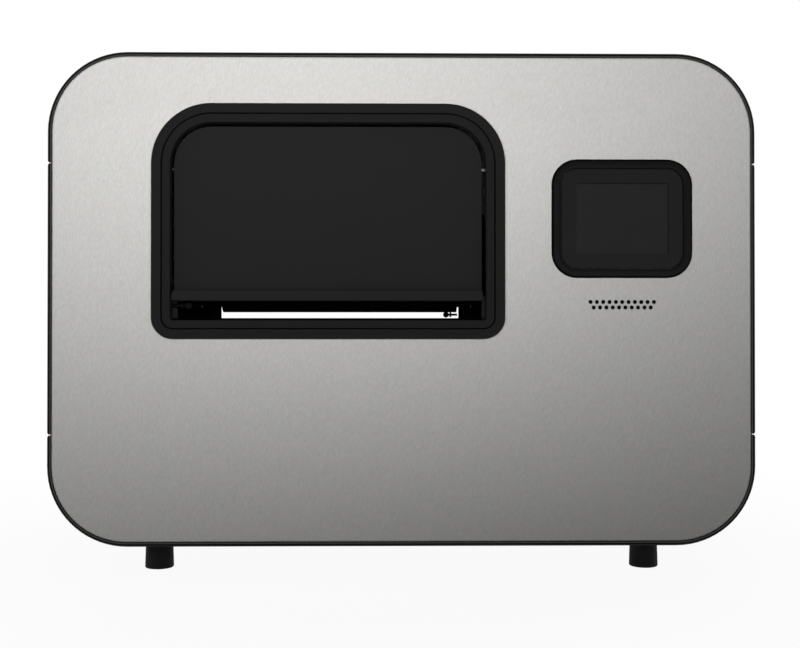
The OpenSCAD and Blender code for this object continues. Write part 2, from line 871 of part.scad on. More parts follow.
module display_bezel() {
    face = body_d / 2;
    top = face + proud;
    crown_w = 6.5;
    foot = 0.6;
    step = 1.2;
    color("#1e1e1e") translate([display_x, 0, display_z])
        frame_sweep(display_w, display_h, display_r, display_r) polygon(concat(
            [[0, face]],
            [for (a = [0:11.25:90]) [crown_w * (cos(a) - 1), face + foot + (proud - foot) * sin(a)]],
            [
                [-display_rim + 2 * step, top],
                [-display_rim + step, top - step],
                [-display_rim, top - step],
                [-display_rim, face]
            ]
        ));
}

module display_glass() {
    gap = 0.2;
    color("#202020") translate([display_x, 0, display_z + display_rim + gap])
        upright(front_y - glass_t, glass_t) polygon(outline(
            glass_w - 2 * gap, glass_h - 2 * gap, display_r - display_rim - gap, display_r - display_rim - gap
        ));
}

module display_panel() {
    w = screen_w + 2 * module_edge;
    h = screen_h + 2 * module_edge;
    color("#2a2a2c") translate([display_x - w / 2, front_y, body_z + display_rise - h / 2])
        cube([w, module_t, h]);
}

// Plate behind the display, on four posts from the front plate
module display_bracket() {
    w = screen_w + 2 * module_edge + 24;
    h = screen_h + 2 * module_edge + 16;
    t = 2;
    post_r = 4;
    inset = post_r + 1;
    y = front_y + module_t;
    color("#8c8c8a") translate([display_x, 0, body_z + display_rise]) {
        translate([-w / 2, y, -h / 2]) cube([w, t, h]);
        for (sx = [-1, 1]) for (sz = [-1, 1])
            translate([sx * (w / 2 - inset), y + 1, sz * (h / 2 - inset)]) rotate([90, 0, 0])
                cylinder(r = post_r, h = module_t - plate_t + 1);
    }
}

// Turns a section drawn as radius and depth into a round piece behind the speaker holes
module speaker_turn() {
    translate([speaker_x, front_y + plate_t, speaker_z]) rotate([-90, 0, 0]) rotate_extrude() children();
}

module speaker_basket() {
    magnet_r = 18;
    magnet_t = 10;
    depth = 26;
    wall = 1.5;
    flange_t = 3;
    color("#4a4a4a") speaker_turn() polygon([
        [speaker_r - basket_rim, 0], [speaker_r, 0], [speaker_r, flange_t],
        [speaker_r - basket_rim + 2, flange_t], [magnet_r, depth - magnet_t], [magnet_r, depth], [0, depth],
        [0, depth - magnet_t - wall], [magnet_r - wall, depth - magnet_t - wall],
        [speaker_r - basket_rim, flange_t - wall]
    ]);
}

module speaker_cone() {
    cap_r = 11;
    cap_rise = 3;
    depth = 12;
    wall = 0.8;
    lift = 0.2;
    rim_r = speaker_r - basket_rim - fit;
    color("#303030") speaker_turn() polygon([
        [rim_r, lift], [rim_r, lift + 1], [cap_r + 2, depth], [cap_r, depth], [0, depth - cap_rise],
        [0, depth - cap_rise - wall], [cap_r, depth - 2 * wall], [rim_r - 3, lift]
    ]);
}

module control_board() {
    chip_t = 3;
    chip_w = 34;
    hole_r = 1.7;
    can_r = 7;
    can_h = 18;
    can_step = 40;
    can_in = 30;
    can_drop = 18;
    big_chip = [60, 70];
    small_chip = [115, 60];
    front = board_y - board_t;
    color("#2f6a45") difference() {
        union() {
            translate([board_x, front, board_z]) cube([board_w, board_t, board_h]);
            translate([board_x + big_chip.x, front - chip_t, board_z + big_chip.y])
                cube([chip_w, chip_t, chip_w]);
            translate([board_x + small_chip.x, front - chip_t, board_z + small_chip.y])
                cube([chip_w / 2, chip_t, chip_w]);
            for (k = [0:2]) translate([board_x + can_in + can_step * k, front, board_z + board_h - can_drop])
                rotate([90, 0, 0]) cylinder(r = can_r, h = can_h);
        }
        for (bx = [board_hole, board_w - board_hole]) for (bz = [board_hole, board_h - board_hole])
            translate([board_x + bx, board_y + 1, board_z + bz]) rotate([90, 0, 0])
                cylinder(r = hole_r, h = board_t + 2);
    }
}

// Sockets on the board that reach out through the rear plate
module data_ports() {
    len = rear_y + 1 - board_y;
    wall = 1.5;
    deep = len - 3;
    for (p = [[port_x, usb_w, usb_h], [port_x + port_step, lan_w, lan_h]])
        color("#9c9c9c") translate([p[0] - p[1] / 2, board_y, port_z - p[2] / 2]) difference() {
            cube([p[1], len, p[2]]);
            translate([wall, len - deep, wall]) cube([p[1] - 2 * wall, deep + 1, p[2] - 2 * wall]);
        }
}

module power_supply() {
    w = 160;
    d = 110;
    h = 50;
    x = pulley_x + pulley_w + 4.4;
    slot = 3;
    pitch = 12;
    first = 25;
    slot_end = 15;
    slot_d = 2;
    bay = 12;
    bay_h = 20;
    bay_end = 10;
    color("#a4a6a8") difference() {
        translate([x, -d / 2, base_z]) cube([w, d, h]);
        for (k = [0:9]) translate([x + first + pitch * k, -d / 2 + slot_end, base_z + h - slot_d])
            cube([slot, d - 2 * slot_end, slot_d + 1]);
        translate([x - 1, -d / 2 + bay_end, base_z + bay]) cube([bay + 1, d - 2 * bay_end, bay_h]);
    }
}

module power_inlet() {
    rim = 4;
    flange = 2.5;
    depth = 22;
    well = 16;
    well_w = 24;
    well_h = 16;
    chamfer = 5;
    blade_w = 2;
    blade_h = 4;
    blade_step = 7;
    color("#1c1c1c") translate([inlet_x, rear_y, body_z + inlet_rise]) difference() {
        union() {
            translate([-inlet_w / 2 - rim, 0, -inlet_h / 2 - rim])
                cube([inlet_w + 2 * rim, flange, inlet_h + 2 * rim]);
            translate([-inlet_w / 2, -depth, -inlet_h / 2]) cube([inlet_w, depth, inlet_h]);
        }
        translate([0, -well + flange, 0]) rotate([-90, 0, 0]) linear_extrude(well + 1)
            polygon([
                [-well_w / 2, -well_h / 2], [well_w / 2, -well_h / 2], [well_w / 2, well_h / 2 - chamfer],
                [well_w / 2 - chamfer, well_h / 2], [-well_w / 2 + chamfer, well_h / 2],
                [-well_w / 2, well_h / 2 - chamfer]
            ]);
        }
    color("silver") translate([inlet_x, rear_y, body_z + inlet_rise]) for (k = [-1, 0, 1])
        translate([blade_step * k - blade_w / 2, -well + flange - 1, k == 0 ? 0 : -blade_h / 2])
            cube([blade_w, well - 3, blade_h]);
}

module power_switch_body() {
    rim = 2.5;
    flange = 2;
    depth = 20;
    cavity = rocker_r + clear + 0.1;
    half_w = switch_w / 2 - switch_wall;
    color("#202020") translate([switch_x, 0, body_z + inlet_rise]) difference() {
        union() {
            translate([-switch_w / 2 - rim, rear_y, -switch_h / 2 - rim])
                cube([switch_w + 2 * rim, flange, switch_h + 2 * rim]);
            translate([-switch_w / 2, rear_y - depth, -switch_h / 2]) cube([switch_w, depth, switch_h]);
        }
        translate([-half_w, rocker_y - cavity, -cavity]) cube([2 * half_w, depth, 2 * cavity]);
    }
}

// Rocker: a short round bar with two flats that meet over its axis
module power_rocker() {
    half_w = switch_w / 2 - switch_wall - clear;
    flat = rear_y - rocker_y;
    far = 20;
    color("#303030") translate([switch_x, rocker_y, body_z + inlet_rise]) difference() {
        rod(-half_w, half_w, 0, 0, rocker_r);
        translate([-half_w - 1, flat, -far]) cube([2 * half_w + 2, far, far]);
        rotate([-rocker_swing, 0, 0]) translate([-half_w - 1, flat, 0]) cube([2 * half_w + 2, far, far]);
    }
}

module base_plate() {
    flat_w = body_w - 2 * corner_r - 6;
    inset = plate_t + 4;
    color("#8e9092") difference() {
        translate([-flat_w / 2, front_y + inset, floor_z]) cube([flat_w, body_d - 2 * inset, base_t]);
        foot_holes();
    }
}

// Side frame with its inner face at x and its foot turned outwards
module side_frame(x, side) {
    foot_w = 28;
    hole_r = 26;
    hole_y = 95;
    low_hole = 90;
    high_hole = 60;
    slope_y = 40;
    slope_z = 60;
    motor_hole_r = motor_boss_r + 0.5;
    x_low = side < 0 ? x - frame_t : x;
    top = frame_top - base_z;
    color("#38383a") difference() {
        union() {
            translate([0, 0, base_z]) along_x(x_low, frame_t) polygon([
                [-frame_d / 2, 0], [frame_d / 2, 0], [frame_d / 2, top - slope_z],
                [frame_d / 2 - slope_y, top], [-frame_d / 2 + slope_y, top], [-frame_d / 2, top - slope_z]
            ]);
            translate([side < 0 ? x - foot_w : x, -frame_d / 2, base_z]) cube([foot_w, frame_d, frame_t]);
        }
        rod(x_low - 1, x_low + frame_t + 1, 0, drum_z, bearing_r + fit);
        rod(x_low - 1, x_low + frame_t + 1, 0, upper_z, bearing_r + fit);
        rod(x_low - 1, x_low + frame_t + 1, feed_y, shaft_z, feed_bearing_r + fit);
        rod(x_low - 1, x_low + frame_t + 1, guide_y, shaft_z, guide_r + fit);
        if (side > 0) {
            rod(x_low - 1, x_low + frame_t + 1, 0, drum_motor_z, motor_hole_r);
            rod(x_low - 1, x_low + frame_t + 1, feed_y, feed_motor_z, motor_hole_r);
        }
        if (side < 0) rod(x_low - 1, x_low + frame_t + 1, hole_y, base_z + low_hole, hole_r);
        rod(x_low - 1, x_low + frame_t + 1, -hole_y, base_z + low_hole, hole_r);
        rod(x_low - 1, x_low + frame_t + 1, -hole_y, paper_z - high_hole, hole_r);
    }
}

module left_frame() {
    side_frame(frame_x0, -1);
}

module right_frame() {
    side_frame(frame_x1, 1);
}

module tie_bars() {
    color("#a2a2a0") for (s = [-1, 1]) {
        rod(frame_x0, frame_x1, s * low_bar_y, low_bar_z, bar_r);
        rod(frame_x0, frame_x1, s * high_bar_y, high_bar_z, bar_r);
    }
}

// Drum with rows of pin grooves, its journals between x0 and x1
module drum(z, x0, x1) {
    groove = 1.2;
    end = 4;
    difference() {
        union() {
            rod(drum_x, drum_x + drum_len, 0, z, drum_r);
            rod(x0, x1, 0, z, journal_r);
        }
        for (k = [0:pin_rows - 1]) {
            a = 360 / pin_rows * (k + 0.5);
            rod(drum_x + end, drum_x + drum_len - end, drum_r * cos(a), z + drum_r * sin(a), groove);
        }
    }
}

module lower_drum() {
    color("#3c3c3e") drum(drum_z, frame_x0 - frame_t - 3, pulley_x + pulley_w);
}

module upper_drum() {
    color("#3c3c3e") drum(upper_z, frame_x0 - frame_t - 3, gear_x + gear_w);
}

module shaft_bearings() {
    color("#b4b4b2") for (side = [-1, 1]) {
        x = side < 0 ? frame_x0 - (frame_t + bearing_w) / 2 : frame_x1 + (frame_t - bearing_w) / 2;
        ring(x, bearing_w, 0, drum_z, bearing_r, journal_r + run);
        ring(x, bearing_w, 0, upper_z, bearing_r, journal_r + run);
        ring(x, bearing_w, feed_y, shaft_z, feed_bearing_r, feed_journal_r + run);
    }
}

module drum_gear(z, phase) {
    slack = 0.3;
    color("#a8894e") translate([0, 0, z]) difference() {
        along_x(gear_x, gear_w) rotate(phase) polygon(gear_outline(gear_m, gear_teeth, slack));
        rod(gear_x - 1, gear_x + gear_w + 1, 0, 0, journal_r + fit);
    }
}

module lower_drum_gear() {
    drum_gear(drum_z, 90);
}

module upper_drum_gear() {
    drum_gear(upper_z, 90 + 180 / gear_teeth);
}

// Flanged belt pulley
module pulley(x, y, z, r, bore) {
    color("#9fa3a6") translate([x, y, z]) rotate([0, 90, 0]) rotate_extrude() polygon([
        [bore, 0], [r + pulley_rim, 0], [r + pulley_rim, pulley_flange], [r, pulley_flange],
        [r, pulley_w - pulley_flange], [r + pulley_rim, pulley_w - pulley_flange],
        [r + pulley_rim, pulley_w], [bore, pulley_w]
    ]);
}

// Belt round two equal pulleys, one over the other
module belt_loop(x, y, z_low, z_high, r) {
    color("#1d1d1d") translate([x + pulley_flange + clear, y, 0]) {
        translate([0, 0, z_high]) rotate([90, 0, 90]) half_ring(r);
        translate([0, 0, z_low]) rotate([90, 0, 90]) rotate(180) half_ring(r);
        for (s = [-1, 1]) translate([0, s * (r + belt_t / 2) - belt_t / 2, z_low])
            cube([belt_w, belt_t, z_high - z_low]);
    }
}

module half_ring(r) {
    rotate_extrude(angle = 180) translate([r, 0]) square([belt_t, belt_w]);
}

module drum_pulley() {
    pulley(pulley_x, 0, drum_z, drum_pulley_r, journal_r + fit);
}

module drum_belt() {
    belt_loop(pulley_x, 0, drum_motor_z, drum_z, drum_pulley_r + clear);
}

module drum_motor() {
    cap_t = 14;
    cap_step = 8;
    flutes = 8;
    flute_r = 2;
    color("#3f4144") difference() {
        union() {
            rod(frame_x1 - drum_motor_len, frame_x1, 0, drum_motor_z, drum_motor_r);
            rod(frame_x1 - drum_motor_len - cap_t, frame_x1, 0, drum_motor_z, drum_motor_r - cap_step);
            rod(frame_x1 - 1, frame_x1 + frame_t, 0, drum_motor_z, motor_boss_r);
        }
        rod(frame_x1 - motor_bore, frame_x1 + frame_t + 1, 0, drum_motor_z, motor_shaft_r + run);
        for (k = [0:flutes - 1]) rotate_about_x(0, drum_motor_z, 360 / flutes * k)
            rod(frame_x1 - drum_motor_len + cap_step, frame_x1 - cap_t, drum_motor_r, drum_motor_z, flute_r);
    }
}

module rotate_about_x(y, z, a) {
    translate([0, y, z]) rotate([a, 0, 0]) translate([0, -y, -z]) children();
}

module drum_motor_pulley() {
    pulley(pulley_x, 0, drum_motor_z, drum_pulley_r, motor_shaft_r - 1);
    color("#c0c0c0") rod(frame_x1 - motor_bore + 2, pulley_x + pulley_w, 0, drum_motor_z, motor_shaft_r);
}

module feed_shaft() {
    w = feed_w;
    inner = 1.5;
    color("#c4c4c4") {
        translate([frame_x0 + inner, feed_y - w / 2, shaft_z - w / 2]) cube([frame_gap - 2 * inner, w, w]);
        rod(frame_x0 - frame_t - 2, frame_x0 + inner + 1, feed_y, shaft_z, feed_journal_r);
        rod(frame_x1 - inner - 1, gear_x + pulley_w, feed_y, shaft_z, feed_journal_r);
    }
}

module guide_shaft() {
    color("#c4c4c4") rod(frame_x0 - frame_t, frame_x1 + frame_t, guide_y, shaft_z, guide_r);
}

module feed_pulley() {
    pulley(gear_x, feed_y, shaft_z, feed_pulley_r, feed_journal_r + fit);
}

module feed_belt() {
    belt_loop(gear_x, feed_y, feed_motor_z, shaft_z, feed_pulley_r + clear);
}

module feed_motor() {
    edge = 4;
    half = feed_motor_w / 2;
    color("#3f4144") difference() {
        union() {
            translate([0, feed_y, feed_motor_z - half]) along_x(frame_x1 - feed_motor_len, feed_motor_len)
                polygon(outline(feed_motor_w, feed_motor_w, edge, edge));
            rod(frame_x1 - 1, frame_x1 + frame_t, feed_y, feed_motor_z, motor_boss_r);
        }
        rod(frame_x1 - motor_bore, frame_x1 + frame_t + 1, feed_y, feed_motor_z, motor_shaft_r + run);
    }
}

module feed_motor_pulley() {
    pulley(gear_x, feed_y, feed_motor_z, feed_pulley_r, motor_shaft_r - 1);
    color("#c0c0c0") rod(frame_x1 - motor_bore + 2, gear_x + pulley_w, feed_y, feed_motor_z, motor_shaft_r);
}

// Bar between the frames with two rows of magnets on it, over the upper drum
module upper_magnet_bank() {
    bar_w = 44;
    bar_t = 8;
    air = 4;
    z = upper_z + drum_r + air;
    row_y = 11;
    coil_h = 25;
    color("#5a4632") {
        translate([frame_x0, -bar_w / 2, z]) cube([frame_gap, bar_w, bar_t]);
        for (k = [0:magnet_count - 1]) for (s = [-1, 1])
            translate([magnet_x(k), s * row_y, z + bar_t - 1]) cylinder(r = magnet_r, h = coil_h);
    }
}

// Bar between the frames with one row of magnets that face the lower drum
module lower_magnet_bank() {
    bar_t = 8;
    bar_h = 26;
    reach = 42;
    air = 4;
    y = -drum_r - reach;
    color("#5a4632") {
        translate([frame_x0, y, drum_z - bar_h / 2]) cube([frame_gap, bar_t, bar_h]);
        for (k = [0:magnet_count - 1]) translate([magnet_x(k), y + bar_t - 1, drum_z])
            rotate([-90, 0, 0]) cylinder(r = magnet_r, h = reach - air - bar_t + 1);
    }
}

// Stands a tractor's drawing at its row of pins: its outer side is +x, mirrored for the left tractor
module tractor_place(side) {
    translate([side < 0 ? left_x : right_x, 0, 0]) mirror([side < 0 ? 1 : 0, 0, 0]) children();
}

// Two cheeks on a floor, with the nose that the belt turns on, the lid's hinge lugs and the lever's pivot
module tractor_body(side) {
    half = tractor_w / 2;
    cheek_h = tractor_floor - 1;
    mid_y = (cheek_y0 + cheek_y1) / 2;
    pivot_x = -half - lever_t - 2 * clear;
    pivot_head = 1.2;
    pivot_rim = 1.4;
    corner = 6;
    toe = 8;
    sole_t = 2.5;
    lug_drop = 12;
    lug_h = 17;
    lid_pin_len = lug_t + 4;
    color("#3a3d40") tractor_place(side) difference() {
        union() {
            for (x = [-half, half - cheek_t])
                translate([0, mid_y, paper_z - tractor_floor]) along_x(x, cheek_t)
                    polygon(outline(cheek_y1 - cheek_y0, cheek_h, corner, corner));
            translate([-half + 1, guide_y - toe, paper_z - tractor_floor])
                cube([tractor_w - 2, belt_c + 2 * toe, sole_t]);
            rod(-half + 1, half - 1, guide_y, shaft_z, tractor_r - tractor_belt_t - clear);
            for (y = [cheek_y0, cheek_y1 - lug_t]) {
                translate([half - cheek_t - 1, y, paper_z - lug_drop]) cube([cheek_t + 1.5, lug_t, lug_h]);
            }
            for (y = [cheek_y0 + 1, cheek_y1 - lid_pin_len - 1])
                translate([lid_axis_x, y, lid_axis_z]) rotate([-90, 0, 0])
                    cylinder(r = lid_pin_r, h = lid_pin_len);
            rod(pivot_x - pivot_head, -half + 1, lever_y, lever_z, pivot_r);
            rod(pivot_x - pivot_head, pivot_x, lever_y, lever_z, pivot_r + pivot_rim);
        }
        rod(-half - 1, half + 1, guide_y, shaft_z, guide_r + run);
        rod(-half - 1, -half + cheek_t + 0.5, feed_y, shaft_z, sprocket_hub_r + run);
        rod(half - cheek_t - 0.5, half + 1, feed_y, shaft_z, sprocket_hub_r + run);
    }
}

// Endless belt with its row of paper pins
module tractor_belt(side) {
    w = tractor_w - 2 * cheek_t - 2;
    r = tractor_r - tractor_belt_t;
    root_r = 1.9;
    tip_r = 1.2;
    pin_h = 3.2;
    sunk = 0.8;
    color("#4b4b4b") tractor_place(side) translate([0, 0, shaft_z]) {
        for (turn = [[guide_y, 90], [feed_y, -90]])
            translate([-w / 2, turn[0], 0]) rotate([90, 0, 90]) rotate(turn[1])
                rotate_extrude(angle = 180) translate([r, 0]) square([tractor_belt_t, w]);
        for (z = [r, -tractor_r]) translate([-w / 2, guide_y, z]) cube([w, belt_c, tractor_belt_t]);
        for (k = [0:belt_pins - 1]) {
            p = pin_place((k + 0.5) * pin_pitch, belt_c, tractor_r - tractor_belt_t / 2);
            out = p[1] == 0 ? tractor_r : 0;
            translate([0, p[0], p[1]]) rotate([p[2] - 90, 0, 0]) translate([0, 0, out - sunk])
                cylinder(r1 = root_r, r2 = tip_r, h = pin_h);
        }
    }
}

// Sprocket on the square shaft, carried in the cheeks by its hubs
module tractor_sprocket(side) {
    half = tractor_w / 2;
    wheel = half - cheek_t - clear;
    wheel_r = tractor_r - tractor_belt_t - clear;
    hole = feed_w + 2 * clear;
    notches = 10;
    notch_r = 1;
    color("#c9c2ad") tractor_place(side) difference() {
        union() {
            rod(-wheel, wheel, feed_y, shaft_z, wheel_r);
            rod(-half, half, feed_y, shaft_z, sprocket_hub_r);
        }
        translate([-half - 1, feed_y - hole / 2, shaft_z - hole / 2]) cube([tractor_w + 2, hole, hole]);
        for (k = [0:notches - 1]) rotate_about_x(feed_y, shaft_z, 360 / notches * k)
            rod(-wheel - 1, wheel + 1, feed_y + wheel_r, shaft_z, notch_r);
    }
}

// Lid that holds the paper on the pins
module tractor_lid(side) {
    half = tractor_w / 2;
    y0 = cheek_y0 + lug_t + clear;
    y1 = cheek_y1 - lug_t - clear;
    z = lid_axis_z - lid_t / 2;
    slot = 5;
    slot_end = 6;
    grip = 3;
    grip_len = 30;
    bore = 6;
    color("#50545a") tractor_place(side) difference() {
        union() {
            translate([-half, y0, z]) cube([2 * half + 0.5, y1 - y0, lid_t]);
            translate([-half, (y0 + y1 - grip_len) / 2, z]) cube([grip, grip_len, lid_t + grip]);
        }
        translate([-slot / 2, y0 + slot_end, z - 1]) cube([slot, y1 - y0 - 2 * slot_end, lid_t + 2]);
        for (y = [y0 - 1, y1 + 1 - bore]) translate([lid_axis_x, y, lid_axis_z]) rotate([-90, 0, 0])
            cylinder(r = lid_pin_r + run, h = bore);
    }
}

// Lever that clamps a tractor to the guide shaft, with a ball and a cross pin at its end
module lock_lever(side) {
    half = tractor_w / 2;
    x = -half - lever_t - clear;
    mid = x + lever_t / 2;
    tip_z = lever_z - lever_len;
    eye = 5.5;
    root = 4;
    tip = 1.6;
    pin_len = 15.2;
    cross_r = 1.5;
    disc_x = 4.9;
    disc_t = 2.3;
    disc_r = 3.4;
    swing = side < 0 ? lever_swing : 0;
    color("#1f1f1f") tractor_place(side) rotate_about_x(lever_y, lever_z, swing) difference() {
        union() {
            rod(x, x + lever_t, lever_y, lever_z, eye);
            translate([0, lever_y, lever_z]) along_x(x, lever_t)
                polygon([[-root, 0], [-tip, -lever_len], [tip, -lever_len], [root, 0]]);
            translate([mid, lever_y, tip_z]) sphere(r = ball_r);
            rod(mid, mid + pin_len, lever_y, tip_z, cross_r);
            rod(mid + disc_x, mid + disc_x + disc_t, lever_y, tip_z, disc_r);
        }
        rod(x - 1, x + lever_t + 1, lever_y, lever_z, pivot_r + run);
    }
}

module left_tractor_body() {
    tractor_body(-1);
}

module left_tractor_belt() {
    tractor_belt(-1);
}

module left_tractor_lid() {
    tractor_lid(-1);
}

module left_tractor_sprocket() {
    tractor_sprocket(-1);
}

module left_lock_lever() {
    lock_lever(-1);
}

module right_tractor_body() {
    tractor_body(1);
}

module right_tractor_belt() {
    tractor_belt(1);
}

module right_tractor_lid() {
    tractor_lid(1);
}

module right_tractor_sprocket() {
    tractor_sprocket(1);
}

module right_lock_lever() {
    lock_lever(1);
}

front_plate();
rear_plate();
top_cover();
left_side_panel();
right_side_panel();
bottom_tray();
frame_rails();
rubber_feet();
foot_screws();
window_bezel();
flap_panel();
flap_lip();
flap_hinge_arms();
flap_hinge_brackets();
flap_hinge_pins();
flap_stop_brackets();
flap_stud();
display_bezel();
display_glass();
display_panel();
display_bracket();
speaker_basket();
speaker_cone();
control_board();
data_ports();
power_supply();
power_inlet();
power_switch_body();
power_rocker();
base_plate();
left_frame();
right_frame();
tie_bars();
lower_drum();
upper_drum();
shaft_bearings();
lower_drum_gear();
upper_drum_gear();
drum_pulley();
drum_belt();
drum_motor();
drum_motor_pulley();
upper_magnet_bank();
lower_magnet_bank();
guide_shaft();
feed_shaft();
feed_pulley();
feed_belt();
feed_motor();
feed_motor_pulley();
left_tractor_body();
left_tractor_belt();
left_tractor_lid();
left_tractor_sprocket();
left_lock_lever();
right_tractor_body();
right_tractor_belt();
right_tractor_lid();
right_tractor_sprocket();
right_lock_lever();
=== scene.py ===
"""Looks of a braille embosser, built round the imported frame: materials, fine pieces, light and camera."""
import json
import math

import bmesh
import bpy
from mathutils import Matrix, Vector


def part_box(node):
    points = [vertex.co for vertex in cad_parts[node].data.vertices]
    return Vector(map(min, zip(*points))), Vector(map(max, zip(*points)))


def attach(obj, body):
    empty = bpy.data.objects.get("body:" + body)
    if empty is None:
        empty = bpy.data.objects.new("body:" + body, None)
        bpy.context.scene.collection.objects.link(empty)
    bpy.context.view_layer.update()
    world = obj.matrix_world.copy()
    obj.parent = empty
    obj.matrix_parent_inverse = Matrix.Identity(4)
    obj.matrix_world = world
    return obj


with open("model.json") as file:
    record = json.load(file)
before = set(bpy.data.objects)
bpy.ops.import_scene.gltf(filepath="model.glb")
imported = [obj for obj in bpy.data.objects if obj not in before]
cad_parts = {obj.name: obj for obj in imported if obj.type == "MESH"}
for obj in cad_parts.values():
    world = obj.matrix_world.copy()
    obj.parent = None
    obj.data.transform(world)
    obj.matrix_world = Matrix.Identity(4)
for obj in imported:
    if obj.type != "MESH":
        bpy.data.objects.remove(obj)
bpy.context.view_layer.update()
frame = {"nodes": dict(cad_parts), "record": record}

MM = 0.001

# How far the bezels and the lining of the rear slot stand out of the plates
PROUD = 4 * MM

WINDOW_LOW, WINDOW_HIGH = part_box("window_bezel")
WINDOW_MIDDLE = (WINDOW_LOW.x + WINDOW_HIGH.x) / 2


# Materials

def grey(level):
    """Colour with equal red, green and blue."""
    return (level, level, level)


def even(size):
    """The same size along all three axes."""
    return (size, size, size)


def set_inputs(node, values):
    """Set constants on some sockets of a node."""
    for socket, value in values.items():
        node.inputs[socket].default_value = value


class Finish:
    """One procedural material and the nodes that it is made of."""

    def __init__(self, name, roughness, metallic=0.0, specular=0.5):
        self.name = name
        self.roughness = roughness
        self.material = bpy.data.materials.new(name)
        self.material.use_nodes = True
        self.tree = self.material.node_tree
        self.shader = self.tree.nodes["Principled BSDF"]
        set_inputs(self.shader, {
            "Roughness": roughness,
            "Metallic": metallic,
            "Specular IOR Level": specular,
        })
        self.place = self.add("ShaderNodeTexCoord").outputs["Object"]

    def add(self, kind, **settings):
        """Add a node with some of its settings."""
        node = self.tree.nodes.new(kind)
        for key, value in settings.items():
            setattr(node, key, value)
        return node

    def link(self, output, target):
        """Lead an output to a socket."""
        self.tree.links.new(output, target)

    def put(self, socket, value):
        """Give a socket a number, a colour or the output of a node."""
        if isinstance(value, (int, float)):
            socket.default_value = value
        elif isinstance(value, tuple):
            socket.default_value = (*value, 1)
        else:
            self.link(value, socket)

    def feed(self, socket, output):
        """Drive a socket of the shader from a node."""
        self.link(output, self.shader.inputs[socket])

    def stretched(self, sizes, turn=(0, 0, 0)):
        """Coordinates in which a feature of the given sizes, in metres, is one unit long."""
        mapping = self.add("ShaderNodeMapping", vector_type="TEXTURE")
        set_inputs(mapping, {"Rotation": [math.radians(angle) for angle in turn], "Scale": sizes})
        self.link(self.place, mapping.inputs["Vector"])
        return mapping.outputs["Vector"]

    def noise(self, sizes, turn=(0, 0, 0), detail=3.0):
        """Cloudy noise with features of the given sizes."""
        octave_share = 0.55
        node = self.add("ShaderNodeTexNoise")
        set_inputs(node, {"Scale": 1, "Detail": detail, "Roughness": octave_share})
        self.link(self.stretched(sizes, turn), node.inputs["Vector"])
        return node.outputs["Fac"]

    def cells(self, size):
        """Cells of the given size, with the distance from the middle of each."""
        node = self.add("ShaderNodeTexVoronoi")
        set_inputs(node, {"Scale": 1})
        self.link(self.stretched(even(size)), node.inputs["Vector"])
        return node.outputs["Distance"]

    def math(self, kind, a, b=None):
        """Result of an operation on one or two numbers or outputs."""
        node = self.add("ShaderNodeMath", operation=kind)
        for socket, value in zip(node.inputs, (a, b)):
            if value is not None:
                self.put(socket, value)
        return node.outputs[0]

    def blend(self, a, b, share):
        """Weighted sum of two outputs, with the given share of the second."""
        part_a = self.math("MULTIPLY", a, 1 - share)
        part_b = self.math("MULTIPLY", b, share)
        return self.math("ADD", part_a, part_b)

    def spread(self, value, low, high, from_low=0.25, from_high=0.75):
        """Map a range of a value, the middle of a noise unless given, to the range from low to high."""
        node = self.add("ShaderNodeMapRange")
        set_inputs(node, {"From Min": from_low, "From Max": from_high})
        self.put(node.inputs["To Min"], low)
        self.put(node.inputs["To Max"], high)
        self.link(value, node.inputs["Value"])
        return node.outputs["Result"]

    def mix(self, share, color_a, color_b):
        """Mixed colour, with the given share of the second."""
        node = self.add("ShaderNodeMix", data_type="RGBA")
        sockets = [socket for socket in node.inputs if socket.type == "RGBA"]
        for socket, color in zip(sockets, (color_a, color_b)):
            self.put(socket, color)
        self.put(node.inputs["Factor"], share)
        return next(socket for socket in node.outputs if socket.type == "RGBA")

    def tint(self, color, noise, share):
        """Colour that varies by a share to both sides, as the noise does."""
        darker = tuple(level * (1 - share) for level in color)
        lighter = tuple(min(1, level * (1 + share)) for level in color)
        self.feed("Base Color", self.mix(self.spread(noise, 0, 1), darker, lighter))

    def roughen(self, noise, under, over):
        """Roughness that varies with the noise, from so much under its value to so much over it."""
        self.feed("Roughness", self.spread(noise, self.roughness - under, self.roughness + over))

    def bump(self, height, depth):
        """Relief of the given depth."""
        node = self.add("ShaderNodeBump")
        set_inputs(node, {"Distance": depth, "Strength": 1})
        self.link(height, node.inputs["Height"])
        self.feed("Normal", node.outputs["Normal"])

    def axis(self, letter, vector=None):
        """One coordinate of a vector, or of the place on the object where none is given."""
        node = self.add("ShaderNodeSeparateXYZ")
        self.link(self.place if vector is None else vector, node.inputs[0])
        return node.outputs[letter]

    def distance(self, value, middle):
        """How far a value lies from the middle, to either side."""
        return self.math("ABSOLUTE", self.math("SUBTRACT", value, middle))

    def inside(self, value, middle, half, soft):
        """1 where a value lies within half of the middle, and 0 outside."""
        return self.spread(self.distance(value, middle), 1, 0, half - soft, half + soft)

    def rectangle(self, middle, half, soft):
        """1 inside a rectangle of the front view, and 0 outside."""
        across = self.inside(self.axis("X"), middle[0], half[0], soft)
        upright = self.inside(self.axis("Z"), middle[1], half[1], soft)
        return self.math("MULTIPLY", across, upright)

    def facing(self):
        """1 on faces that look to the front or the rear, also at a slant, and 0 on the others."""
        slant_low = 0.3
        slant_high = 0.4
        normal = self.add("ShaderNodeNewGeometry").outputs["True Normal"]
        slant = self.math("ABSOLUTE", self.axis("Y", normal))
        return self.spread(slant, 0, 1, slant_low, slant_high)

